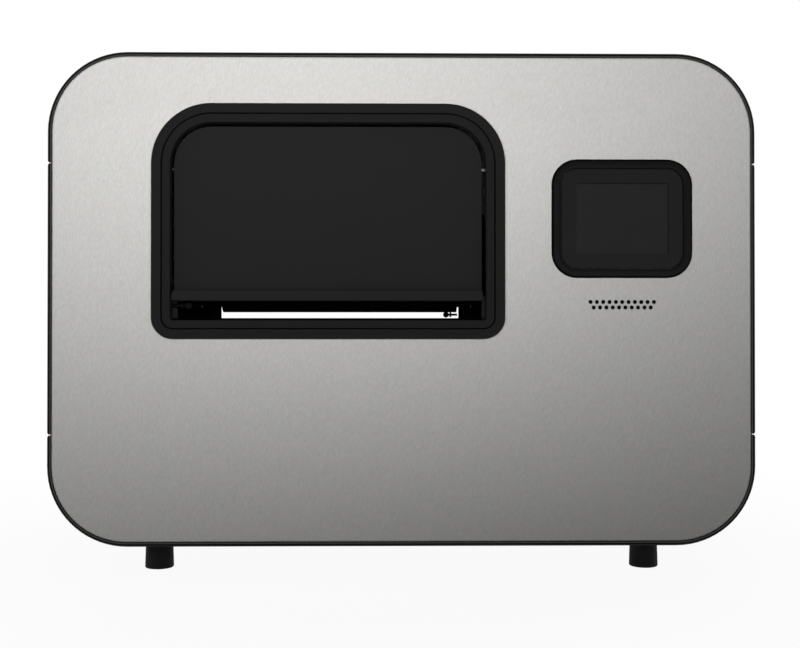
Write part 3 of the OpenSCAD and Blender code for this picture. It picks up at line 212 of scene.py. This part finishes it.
    def depth(self, low, high, corner_r):
        """How far a point lies inside a rounded outline of the front view."""
        reach = []
        for letter, start, end in (("X", low.x, high.x), ("Z", low.z, high.z)):
            away = self.distance(self.axis(letter), (start + end) / 2)
            reach.append(self.math("SUBTRACT", away, (end - start) / 2 - corner_r))
        squares = [self.math("POWER", self.math("MAXIMUM", side, 0), 2) for side in reach]
        round_part = self.math("SQRT", self.math("ADD", *squares))
        straight_part = self.math("MINIMUM", self.math("MAXIMUM", *reach), 0)
        return self.math("SUBTRACT", corner_r, self.math("ADD", round_part, straight_part))

    def recolor(self, share, color):
        """Another colour where the share is 1."""
        under = self.shader.inputs["Base Color"].links[0].from_socket
        self.feed("Base Color", self.mix(share, under, color))

    def vary(self, socket, share, value):
        """Another value of a socket where the share is 1."""
        plain = self.shader.inputs[socket].default_value
        self.feed(socket, self.spread(share, plain, value, 0, 1))


def brushed(name, color, roughness, metallic, slant, share, specular=0.5, depth=0.02 * MM):
    """Metal sheet with short slanted strokes and a cloudy lustre."""
    stroke_size = (1.4 * MM, 40 * MM, 5 * MM)
    fine_size = (0.5 * MM, 40 * MM, 2.5 * MM)
    cloud_size = (90 * MM, 90 * MM, 60 * MM)
    turn = (0, slant, 0)
    finish = Finish(name, roughness, metallic, specular)
    strokes = finish.noise(stroke_size, turn, detail=1.0)
    fine = finish.noise(fine_size, turn, detail=2.0)
    cloud = finish.noise(cloud_size, detail=2.0)
    grain = finish.blend(strokes, fine, share=0.3)
    finish.tint(color, grain, share)
    finish.roughen(finish.blend(grain, cloud, share=0.3), under=0.06, over=0.06)
    finish.bump(grain, depth)
    return finish


def moulded(name, color, roughness, specular=0.3, pebble=0.7 * MM, depth=0.02 * MM):
    """Plastic with a fine moulded texture and a slightly uneven sheen."""
    cloud_size = 60 * MM
    finish = Finish(name, roughness, specular=specular)
    cloud = finish.noise(even(cloud_size))
    pebbles = finish.cells(pebble)
    finish.tint(color, cloud, share=0.08)
    finish.roughen(cloud, under=0.05, over=0.05)
    finish.bump(pebbles, depth)
    return finish


def rubber(name, color, roughness=0.75, specular=0.2):
    """Dull rubber with dust in its pores."""
    dust_size = 9 * MM
    pore_size = 0.6 * MM
    pore_depth = 0.03 * MM
    finish = Finish(name, roughness, specular=specular)
    dust = finish.noise(even(dust_size), detail=5.0)
    pores = finish.noise(even(pore_size), detail=2.0)
    finish.tint(color, dust, share=0.18)
    finish.roughen(dust, under=0.1, over=0.08)
    finish.bump(pores, pore_depth)
    return finish


def turned(name, color, roughness=0.28):
    """Metal turned or ground across x, with fine rings."""
    ring_size = (0.35 * MM, 30 * MM, 30 * MM)
    ring_depth = 0.01 * MM
    cloud_size = 25 * MM
    finish = Finish(name, roughness, metallic=1.0)
    rings = finish.noise(ring_size, detail=2.0)
    cloud = finish.noise(even(cloud_size))
    finish.tint(color, rings, share=0.07)
    finish.roughen(cloud, under=0.08, over=0.12)
    finish.bump(rings, ring_depth)
    return finish


def painted(name, color, roughness, specular=0.5):
    """Sheet metal with paint or oxide on it, with a fine orange peel."""
    cloud_size = 40 * MM
    peel_size = 1.6 * MM
    peel_depth = 0.02 * MM
    finish = Finish(name, roughness, specular=specular)
    cloud = finish.noise(even(cloud_size), detail=4.0)
    peel = finish.noise(even(peel_size), detail=1.0)
    finish.tint(color, cloud, share=0.1)
    finish.roughen(cloud, under=0.08, over=0.08)
    finish.bump(peel, peel_depth)
    return finish


def zinc(name, color):
    """Galvanised sheet with its flat crystals."""
    crystal_size = 9 * MM
    cloud_size = 30 * MM
    finish = Finish(name, roughness=0.45, metallic=0.8)
    crystals = finish.cells(crystal_size)
    cloud = finish.noise(even(cloud_size))
    finish.tint(color, finish.blend(crystals, cloud, share=0.5), share=0.15)
    finish.roughen(crystals, under=0.09, over=0.11)
    return finish


def screen_glass(name, color, lit):
    """Dark gloss glass, lighter over the picture area, with painted shade: a dark stripe above and to the
    right of it.
    """
    panel_edge = 5 * MM
    shade_line_w = 1.1 * MM
    shade_line_specular = 0.3
    soft = 0.25 * MM
    smear_size = (35 * MM, 35 * MM, 20 * MM)
    smear_turn = (0, 25, 0)
    low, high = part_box("display_panel")
    middle = ((low.x + high.x) / 2, (low.z + high.z) / 2)
    half = ((high.x - low.x) / 2 - panel_edge, (high.z - low.z) / 2 - panel_edge)
    shifted = (middle[0] + shade_line_w, middle[1] + shade_line_w)
    finish = Finish(name, roughness=0.1)
    set_inputs(finish.shader, {"IOR": 1.5})
    area = finish.rectangle(middle, half, soft)
    # Painted shade: a dark, less glossy stripe along the top and right edges of the picture area
    painted_shade_line = finish.math("MAXIMUM", finish.math("SUBTRACT", finish.rectangle(shifted, half, soft), area), 0)
    smear = finish.noise(smear_size, smear_turn, detail=4.0)
    finish.feed("Base Color", finish.mix(area, color, lit))
    finish.recolor(painted_shade_line, grey(0))
    finish.vary("Specular IOR Level", painted_shade_line, shade_line_specular)
    finish.roughen(smear, under=0.02, over=0.06)
    return finish


def circuit_board(name):
    """Green solder mask over copper tracks."""
    track_size = 14 * MM
    track_turn = (90, 0, 0)
    track_depth = 0.03 * MM
    looks = {
        "Color1": (0.022, 0.12, 0.05),
        "Color2": (0.03, 0.15, 0.065),
        "Mortar": (0.05, 0.21, 0.09),
        "Scale": 1,
        "Mortar Size": 0.06,
    }
    finish = Finish(name, roughness=0.4)
    tracks = finish.add("ShaderNodeTexBrick", offset=0.37)
    for socket, value in looks.items():
        finish.put(tracks.inputs[socket], value)
    finish.link(finish.stretched(even(track_size), track_turn), tracks.inputs["Vector"])
    finish.feed("Base Color", tracks.outputs["Color"])
    finish.bump(tracks.outputs["Fac"], track_depth)
    return finish


def windings(name, color):
    """Varnished copper wire, wound close."""
    wire_size = (60 * MM, 60 * MM, 0.9 * MM)
    wire_depth = 0.08 * MM
    finish = Finish(name, roughness=0.6, specular=0.05)
    wires = finish.noise(wire_size, detail=1.0)
    finish.tint(color, wires, share=0.3)
    finish.bump(wires, wire_depth)
    return finish


def line_rear_slot(finish):
    """Black lining round the paper slot of the rear plate."""
    slot_shift = -4 * MM
    slot_rise = 14.05 * MM
    slot_w = 351 * MM
    slot_h = 59 * MM
    lining_w = 8 * MM
    lining_color = grey(0.004)
    soft = 0.1 * MM
    low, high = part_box("rear_plate")
    middle = (WINDOW_MIDDLE + slot_shift, (low.z + high.z) / 2 + slot_rise)
    half = (slot_w / 2 + lining_w, slot_h / 2 + lining_w)
    share = finish.rectangle(middle, half, soft)
    finish.recolor(share, lining_color)
    finish.vary("Metallic", share, 0)
    finish.vary("Specular IOR Level", share, 0)


def paint_rim_shade_and_sheen(finish):
    """Painted shade: a near-black band on the shells' outer bevels; and a painted sheen: a glossier band of
    the shell's colour beside the plates.
    """
    corner_r = 88 * MM
    shade_band_w = 3.6 * MM
    painted_shade_color = grey(0.002)
    shade_band_specular = 0.05
    pale_color = grey(0.029)
    painted_sheen_specular = 0.75
    soft = 0.1 * MM
    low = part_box("bottom_tray")[0]
    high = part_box("top_cover")[1]
    pale = finish.spread(finish.depth(low, high, corner_r), 0, 1, shade_band_w - soft, shade_band_w + soft)
    rim = finish.facing()
    # Painted shade on the outer bevels, and beside the plates a raised specular level as painted sheen
    finish.recolor(rim, finish.mix(pale, painted_shade_color, pale_color))
    finish.vary("Specular IOR Level", rim, finish.spread(pale, shade_band_specular, painted_sheen_specular, 0, 1))


# Finish of each material slot
finishes = {finish.name: finish for finish in (
    brushed("front_plate", (0.626, 0.62, 0.605), roughness=0.5, metallic=0.1, slant=18, share=0.1,
            specular=0.25, depth=0.3 * MM),
    brushed("rear_plate", (0.55, 0.55, 0.54), roughness=0.45, metallic=0.5, slant=90, share=0.1),
    moulded("shell", grey(0.03), roughness=0.6, specular=0.05),
    brushed("rail", grey(0.5), roughness=0.4, metallic=0.8, slant=90, share=0.06),
    rubber("foot_rubber", grey(0.0045)),
    turned("bright_steel", grey(0.58)),
    moulded("bezel", grey(0.0062), roughness=0.6, specular=0.2, pebble=0.5 * MM, depth=0.015 * MM),
    moulded("flap", grey(0.009), roughness=0.6, specular=0.2, pebble=0.6 * MM, depth=0.015 * MM),
    painted("black_metal", grey(0.01), roughness=0.55, specular=0.2),
    # Black paint made darker and without sheen: partly the frames' paint, partly painted shade of the inside
    # of the housing
    painted("frame_black", grey(0.004), roughness=0.7, specular=0.0),
    zinc("sheet_steel", (0.33, 0.34, 0.35)),
    screen_glass("screen_glass", color=grey(0.0035), lit=grey(0.0085)),
    painted("screen", (0.02, 0.02, 0.022), roughness=0.3),
    rubber("cone", grey(0.006), roughness=0.9, specular=0.0),
    circuit_board("board"),
    brushed("supply_case", (0.45, 0.46, 0.47), roughness=0.42, metallic=0.8, slant=90, share=0.06),
    moulded("black_plastic", grey(0.018), roughness=0.4, pebble=0.4 * MM, depth=0.01 * MM),
    painted("drum", grey(0.005), roughness=0.6, specular=0.05),
    turned("gear_brass", (0.60, 0.42, 0.16), roughness=0.3),
    turned("pulley", (0.52, 0.52, 0.53), roughness=0.32),
    rubber("belt_rubber", grey(0.0025), roughness=0.9, specular=0.02),
    painted("motor", (0.035, 0.036, 0.04), roughness=0.45),
    # Windings far darker than varnished copper: painted shade of the inside of the housing
    windings("magnet", (0.008, 0.006, 0.005)),
    moulded("tractor", (0.006, 0.006, 0.0065), roughness=0.6, specular=0.0),
    moulded("tractor_lid", (0.009, 0.009, 0.01), roughness=0.55, specular=0.05),
    moulded("sprocket", (0.5, 0.45, 0.34), roughness=0.5),
)}
line_rear_slot(finishes["rear_plate"])
paint_rim_shade_and_sheen(finishes["shell"])

# Finishes of single nodes that differ from the rest of their slot
own_finishes = {
    "display_bezel": moulded("display_bezel", grey(0.0036), roughness=0.5, specular=0.15,
                             pebble=0.5 * MM, depth=0.01 * MM),
    # Bearings in the black paint instead of bright steel: painted shade inside the housing
    "shaft_bearings": finishes["black_metal"],
}

for part in frame["record"]["subparts"]:
    part_finish = own_finishes.get(part["node"], finishes[part["material_slot"]])
    part_mesh = frame["nodes"][part["node"]].data
    part_mesh.materials.clear()
    part_mesh.materials.append(part_finish.material)


# Fine pieces

FORWARD = Vector((0, -1, 0))


def add_piece(name, shape, slot, body):
    """Make a named piece that rides a body and takes its finish from a slot."""
    crease = math.radians(35)
    mesh = bpy.data.meshes.new(name)
    bmesh.ops.recalc_face_normals(shape, faces=shape.faces)
    shape.to_mesh(mesh)
    shape.free()
    mesh.shade_smooth()
    mesh.set_sharp_from_angle(angle=crease)
    mesh.materials.append(finishes[slot].material)
    piece = bpy.data.objects.new(name, mesh)
    bpy.context.scene.collection.objects.link(piece)
    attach(piece, body)


def bridge(shape, ring, following):
    """Join two rings of points by a band of faces."""
    for k in range(len(ring)):
        j = (k + 1) % len(ring)
        shape.faces.new((ring[k], ring[j], following[j], following[k]))


def lathe(shape, profile, axis, steps):
    """Turn (radius, height) points about the z axis of a matrix; a third value puts them on a hexagon."""
    rings = []
    for radius, height, *hexagon in profile:
        ring = []
        for k in range(steps):
            turn = 2 * math.pi * k / steps
            reach = radius
            if hexagon:
                reach = radius / math.cos(turn % (math.pi / 3) - math.pi / 6)
            point = Vector((reach * math.cos(turn), reach * math.sin(turn), height))
            ring.append(shape.verts.new(axis @ point))
        rings.append(ring)
    for ring, following in zip(rings, rings[1:]):
        bridge(shape, ring, following)
    shape.faces.new(reversed(rings[0]))
    shape.faces.new(rings[-1])


def block(shape, low, high):
    """Box between two corners."""
    corners = ((low[0], low[2]), (high[0], low[2]), (high[0], high[2]), (low[0], high[2]))
    ends = []
    for y in (low[1], high[1]):
        ends.append([shape.verts.new((x, y, z)) for x, z in corners])
    bridge(shape, *ends)
    shape.faces.new(reversed(ends[0]))
    shape.faces.new(ends[1])


def frame_path(low, high, inset, top_r, bottom_r, y):
    """Points and outward directions round a front-view rectangle with rounded corners."""
    quarter = 90
    steps = 10
    left, right = low.x + inset, high.x - inset
    bottom, top = low.z + inset, high.z - inset
    corners = (
        (right - bottom_r, bottom + bottom_r, bottom_r, -quarter),
        (right - top_r, top - top_r, top_r, 0),
        (left + top_r, top - top_r, top_r, quarter),
        (left + bottom_r, bottom + bottom_r, bottom_r, 2 * quarter),
    )
    path = []
    for x, z, r, start in corners:
        for k in range(steps + 1):
            turn = math.radians(start + quarter * k / steps)
            out = Vector((math.cos(turn), 0, math.sin(turn)))
            path.append((Vector((x, y, z)) + r * out, out))
    return path


def add_sweep(name, path, section, slot):
    """Carry a closed section, given outwards and forwards, round a closed path of the front view."""
    shape = bmesh.new()
    rings = []
    for point, out in path:
        rings.append([shape.verts.new(point + u * out + v * FORWARD) for u, v in section])
    for ring, following in zip(rings, rings[1:] + rings[:1]):
        bridge(shape, ring, following)
    add_piece(name, shape, slot, "chassis")


def add_seal(name, path, half, rise, slot="belt_rubber"):
    """Half-round bead along a closed path, of rubber unless another slot is given."""
    steps = 6
    turns = [math.pi * k / steps for k in range(steps + 1)]
    add_sweep(name, path, [(half * math.cos(a), rise * math.sin(a)) for a in turns], slot)


def window_groove_shade():
    """Black bead on the floor of the groove round the window: painted shade that darkens the groove."""
    flange = 10.6 * MM
    groove = 1.6 * MM
    groove_depth = 3.2 * MM
    top_r = 66 * MM
    bottom_r = 24 * MM
    inset = flange + groove / 2
    floor_y = WINDOW_LOW.y + groove_depth
    path = frame_path(WINDOW_LOW, WINDOW_HIGH, inset, top_r - inset, bottom_r - inset, floor_y)
    add_seal("window_groove_shade", path, half=0.7 * MM, rise=0.8 * MM)


def glass_edge_shade():
    """Black bead along the edge of the display glass: painted shade in the gap between the glass and its
    bezel.
    """
    corner_r = 17.8 * MM
    half = 0.3 * MM
    low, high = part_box("display_glass")
    path = frame_path(low, high, half, corner_r - half, corner_r - half, low.y)
    add_seal("glass_edge_shade", path, half, rise=0.4 * MM)


def gap_path(plate, y):
    """Path along the middle of the gap round a plate."""
    gap = 0.8 * MM
    plate_r = 82.6 * MM
    corner_r = plate_r + gap / 2
    low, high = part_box(plate)
    return frame_path(low, high, -gap / 2, corner_r, corner_r, y)


def front_seal():
    """Bead of the shells' plastic in the gap round the front plate."""
    sunk = 1.5 * MM
    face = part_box("front_plate")[0].y
    add_seal("front_seal", gap_path("front_plate", face + sunk), half=0.35 * MM, rise=0.8 * MM, slot="shell")


def rear_seal():
    """Black strip in the gap round the rear plate."""
    edge_r = 2.6 * MM
    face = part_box("rear_plate")[1].y - PROUD
    add_seal("rear_seal", gap_path("rear_plate", face - edge_r), half=0.3 * MM, rise=1.2 * MM)


def display_shade_trim():
    """Thin black trim over the outer edge of the display bezel's crown: painted shade round the bezel."""
    crown_w = 6.5 * MM
    foot = 0.6 * MM
    skin = 0.1 * MM
    corner_r = 28 * MM
    steps = 8
    covered = math.radians(48)
    low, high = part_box("display_bezel")
    path = frame_path(low, high, 0, corner_r, corner_r, low.y + PROUD)
    turns = [covered * k / steps for k in range(steps + 1)]
    inner = [(crown_w * (math.cos(a) - 1), foot + (PROUD - foot) * math.sin(a)) for a in turns]
    outer = [(u + skin, v + skin) for u, v in inner]
    add_sweep("display_shade_trim", path, [(0, 0), *inner, *reversed(outer), (skin, 0)], "belt_rubber")


def rear_screws():
    """Button-head screws with hexagon sockets, round the edge of the rear plate."""
    inset = 16 * MM
    columns = (-240 * MM, -80 * MM, 80 * MM, 240 * MM)
    rows = (-120 * MM, 0, 120 * MM)
    steps = 24
    rim = ((4.0 * MM, -0.3 * MM), (4.0 * MM, 0.5 * MM))
    crown = ((3.6 * MM, 1.3 * MM), (2.9 * MM, 1.9 * MM), (2.2 * MM, 2.15 * MM))
    socket = ((1.5 * MM, 2.15 * MM, 1), (1.5 * MM, 0.9 * MM, 1), (0.2 * MM, 0.7 * MM))
    low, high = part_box("rear_plate")
    face = high.y - PROUD
    middle = (low.z + high.z) / 2
    places = [(x, z) for x in columns for z in (low.z + inset, high.z - inset)]
    places += [(x, middle + row) for x in (low.x + inset, high.x - inset) for row in rows]
    shape = bmesh.new()
    for x, z in places:
        axis = Matrix.Translation((x, face, z)) @ Matrix.Rotation(math.radians(-90), 4, "X")
        lathe(shape, (*rim, *crown, *socket), axis, steps)
    add_piece("rear_screws", shape, "bright_steel", "chassis")


def drum_pins(drum):
    """Rows of embossing pins that stand in the grooves of a drum."""
    drum_r = 20 * MM
    length = 300 * MM
    shift = 4.3 * MM
    rows = 12
    pitch = 5 * MM
    margin = 7.5 * MM
    pin_r = 0.75 * MM
    tip_r = 0.4 * MM
    tip_h = 0.4 * MM
    root = 1.5 * MM
    steps = 8
    profile = ((pin_r, -root), (pin_r, -tip_h), (tip_r, 0))
    start = WINDOW_MIDDLE + shift - length / 2
    low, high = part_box(drum)
    centre = (low + high) / 2
    rise = Matrix.Translation((0, 0, drum_r))
    shape = bmesh.new()
    for row in range(rows):
        angle = 2 * math.pi * (row + 0.5) / rows
        turn = Matrix.Rotation(angle - math.pi / 2, 4, "X")
        for k in range(int((length - 2 * margin) / pitch) + 1):
            place = Matrix.Translation((start + margin + k * pitch, centre.y, centre.z))
            lathe(shape, profile, place @ turn @ rise, steps)
    # The pins take the drum's near-black finish instead of bright steel: painted shade inside the housing
    add_piece(drum + "_pins", shape, "drum", drum)


def port_contacts():
    """Tongue and contacts inside the two data sockets."""
    back_wall = 4 * MM
    usb_w = 12 * MM
    tongue_w = 5.6 * MM
    tongue_h = 3.2 * MM
    tongue_edge = 0.4 * MM
    usb_contact_w = 1.0 * MM
    usb_shift = 1.25 * MM
    usb_rise = 1.7 * MM
    lan_w = 16 * MM
    lan_contact_w = 0.5 * MM
    lan_count = 8
    lan_pitch = 1.02 * MM
    lan_rise = 3.6 * MM
    contact_h = 0.4 * MM
    low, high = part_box("data_ports")
    usb_x = low.x + usb_w / 2
    lan_x = high.x - lan_w / 2
    middle = (low.z + high.z) / 2

    def bar(shape, x, z, width, height, sunk):
        """Bar from the back wall of a socket to so far below its mouth."""
        block(shape, (x - width / 2, low.y + back_wall, z - height / 2),
              (x + width / 2, high.y - sunk, z + height / 2))

    tongue = bmesh.new()
    bar(tongue, usb_x, middle, tongue_w, tongue_h, sunk=2 * MM)
    bmesh.ops.bevel(tongue, geom=tongue.edges[:], offset=tongue_edge, segments=2, affect="EDGES")
    add_piece("port_tongue", tongue, "black_plastic", "chassis")
    contacts = bmesh.new()
    for z in (middle - usb_rise, middle + usb_rise):
        for x in (usb_x - usb_shift, usb_x + usb_shift):
            bar(contacts, x, z, usb_contact_w, contact_h, sunk=3 * MM)
    for k in range(lan_count):
        x = lan_x + (k - (lan_count - 1) / 2) * lan_pitch
        bar(contacts, x, middle + lan_rise, lan_contact_w, contact_h, sunk=4 * MM)
    add_piece("port_contacts", contacts, "gear_brass", "chassis")


window_groove_shade()
glass_edge_shade()
front_seal()
rear_seal()
display_shade_trim()
rear_screws()
drum_pins("lower_drum")
drum_pins("upper_drum")
port_contacts()


# Stage

def seen_rays(tree, rays):
    """1 for what the camera, reflections and clear pieces see, and 0 for light that falls on things."""
    seen = rays.outputs["Is Camera Ray"]
    for kind in ("Is Glossy Ray", "Is Transmission Ray"):
        node = tree.nodes.new("ShaderNodeMath")
        node.operation = "MAXIMUM"
        tree.links.new(seen, node.inputs[0])
        tree.links.new(rays.outputs[kind], node.inputs[1])
        seen = node.outputs[0]
    return seen


def surround(tree, direction, soft, front, behind):
    """Level of the surround, which changes softly from in front of the object to behind it."""
    shade = tree.nodes.new("ShaderNodeMapRange")
    shade.interpolation_type = "SMOOTHSTEP"
    set_inputs(shade, {"From Min": -soft, "From Max": soft, "To Min": front, "To Max": behind})
    tree.links.new(direction, shade.inputs["Value"])
    return shade.outputs["Result"]


def world_light(shown, lit, soft):
    """White surround, with its levels in front of and behind the object, as mirrored and as light."""
    world = bpy.data.worlds.new("studio")
    bpy.context.scene.world = world
    world.use_nodes = True
    tree = world.node_tree
    background = tree.nodes["Background"]
    set_inputs(background, {"Color": (1, 1, 1, 1)})
    place = tree.nodes.new("ShaderNodeTexCoord")
    split = tree.nodes.new("ShaderNodeSeparateXYZ")
    tree.links.new(place.outputs["Generated"], split.inputs[0])
    rays = tree.nodes.new("ShaderNodeLightPath")
    level = tree.nodes.new("ShaderNodeMapRange")
    tree.links.new(seen_rays(tree, rays), level.inputs["Value"])
    tree.links.new(surround(tree, split.outputs["Y"], soft, *lit), level.inputs["To Min"])
    tree.links.new(surround(tree, split.outputs["Y"], soft, *shown), level.inputs["To Max"])
    # The camera itself sees plain white, which is a strength of 1
    strength = tree.nodes.new("ShaderNodeMapRange")
    tree.links.new(rays.outputs["Is Camera Ray"], strength.inputs["Value"])
    tree.links.new(level.outputs["Result"], strength.inputs["To Min"])
    tree.links.new(strength.outputs["Result"], background.inputs["Strength"])


def floor_material():
    """Pale floor: near white to the camera and in reflections, with the object's shadow on it."""
    lit_color = grey(0.1)
    shown_color = grey(0.9)
    shadow_share = 0.06
    shadow_near = 0.4
    shadow_far = 1.1
    material = bpy.data.materials.new("floor")
    material.use_nodes = True
    tree = material.node_tree
    tree.nodes.clear()
    output = tree.nodes.new("ShaderNodeOutputMaterial")
    plain = tree.nodes.new("ShaderNodeBsdfDiffuse")
    set_inputs(plain, {"Color": (*lit_color, 1)})
    pale = tree.nodes.new("ShaderNodeBsdfDiffuse")
    set_inputs(pale, {"Color": (*shown_color, 1)})
    glow = tree.nodes.new("ShaderNodeEmission")
    set_inputs(glow, {"Strength": 1})
    place = tree.nodes.new("ShaderNodeTexCoord")
    away = tree.nodes.new("ShaderNodeVectorMath")
    away.operation = "LENGTH"
    tree.links.new(place.outputs["Object"], away.inputs[0])
    fade = tree.nodes.new("ShaderNodeMapRange")
    set_inputs(fade, {"From Min": shadow_near, "From Max": shadow_far, "To Min": shadow_share, "To Max": 0})
    tree.links.new(away.outputs["Value"], fade.inputs["Value"])
    shown = tree.nodes.new("ShaderNodeMixShader")
    tree.links.new(fade.outputs["Result"], shown.inputs["Fac"])
    tree.links.new(glow.outputs[0], shown.inputs[1])
    tree.links.new(pale.outputs[0], shown.inputs[2])
    choose = tree.nodes.new("ShaderNodeMixShader")
    rays = tree.nodes.new("ShaderNodeLightPath")
    tree.links.new(seen_rays(tree, rays), choose.inputs["Fac"])
    tree.links.new(plain.outputs[0], choose.inputs[1])
    tree.links.new(shown.outputs[0], choose.inputs[2])
    tree.links.new(choose.outputs[0], output.inputs["Surface"])
    return material


def add_floor(half):
    """Square floor at the height of the feet."""
    mesh = bpy.data.meshes.new("floor")
    corners = [(-half, -half, 0), (half, -half, 0), (half, half, 0), (-half, half, 0)]
    mesh.from_pydata(corners, [], [(0, 1, 2, 3)])
    floor = bpy.data.objects.new("floor", mesh)
    bpy.context.scene.collection.objects.link(floor)
    mesh.materials.append(floor_material())


def add_lamp(name, place, target, size, power):
    """Soft rectangular lamp that isn't seen itself."""
    light = bpy.data.lights.new(name, "AREA")
    light.shape = "RECTANGLE"
    light.size, light.size_y = size
    light.energy = power
    lamp = bpy.data.objects.new(name, light)
    lamp.location = place
    aim = Vector(target) - Vector(place)
    lamp.rotation_euler = aim.to_track_quat("-Z", "Y").to_euler()
    lamp.visible_camera = False
    lamp.visible_glossy = False
    bpy.context.scene.collection.objects.link(lamp)


def add_camera(place, tilt, pan):
    """Camera at the photograph's viewing angle."""
    data = bpy.data.cameras.new("camera")
    data.lens = 50
    data.sensor_width = 36
    camera = bpy.data.objects.new("camera", data)
    camera.location = place
    camera.rotation_euler = (math.radians(tilt), 0, math.radians(pan))
    bpy.context.scene.collection.objects.link(camera)
    bpy.context.scene.camera = camera


world_light(shown=(0.3, 1.0), lit=(0.036, 0.3), soft=0.25)
add_floor(half=30)
add_lamp("key", (-0.167, -1.218, 0.478), target=(-0.384, -0.212, 2.087), size=(0.9, 0.7), power=19.9)
add_lamp("top", (0.2, 0.5, 1.9), target=(0, 0.1, 0.3), size=(1.6, 1.2), power=7)
add_lamp("left_rear", (-1.3, 2.2, 1.1), target=(-0.2, 0.1, 0.3), size=(1.2, 1.2), power=26)
add_lamp("right_rear", (1.3, 2.2, 1.1), target=(0.2, 0.1, 0.3), size=(1.2, 1.2), power=26)
add_camera((-0.0209, -1.4356, 0.2652), tilt=90.467, pan=-0.831)

bpy.context.scene.view_settings.view_transform = "Standard"
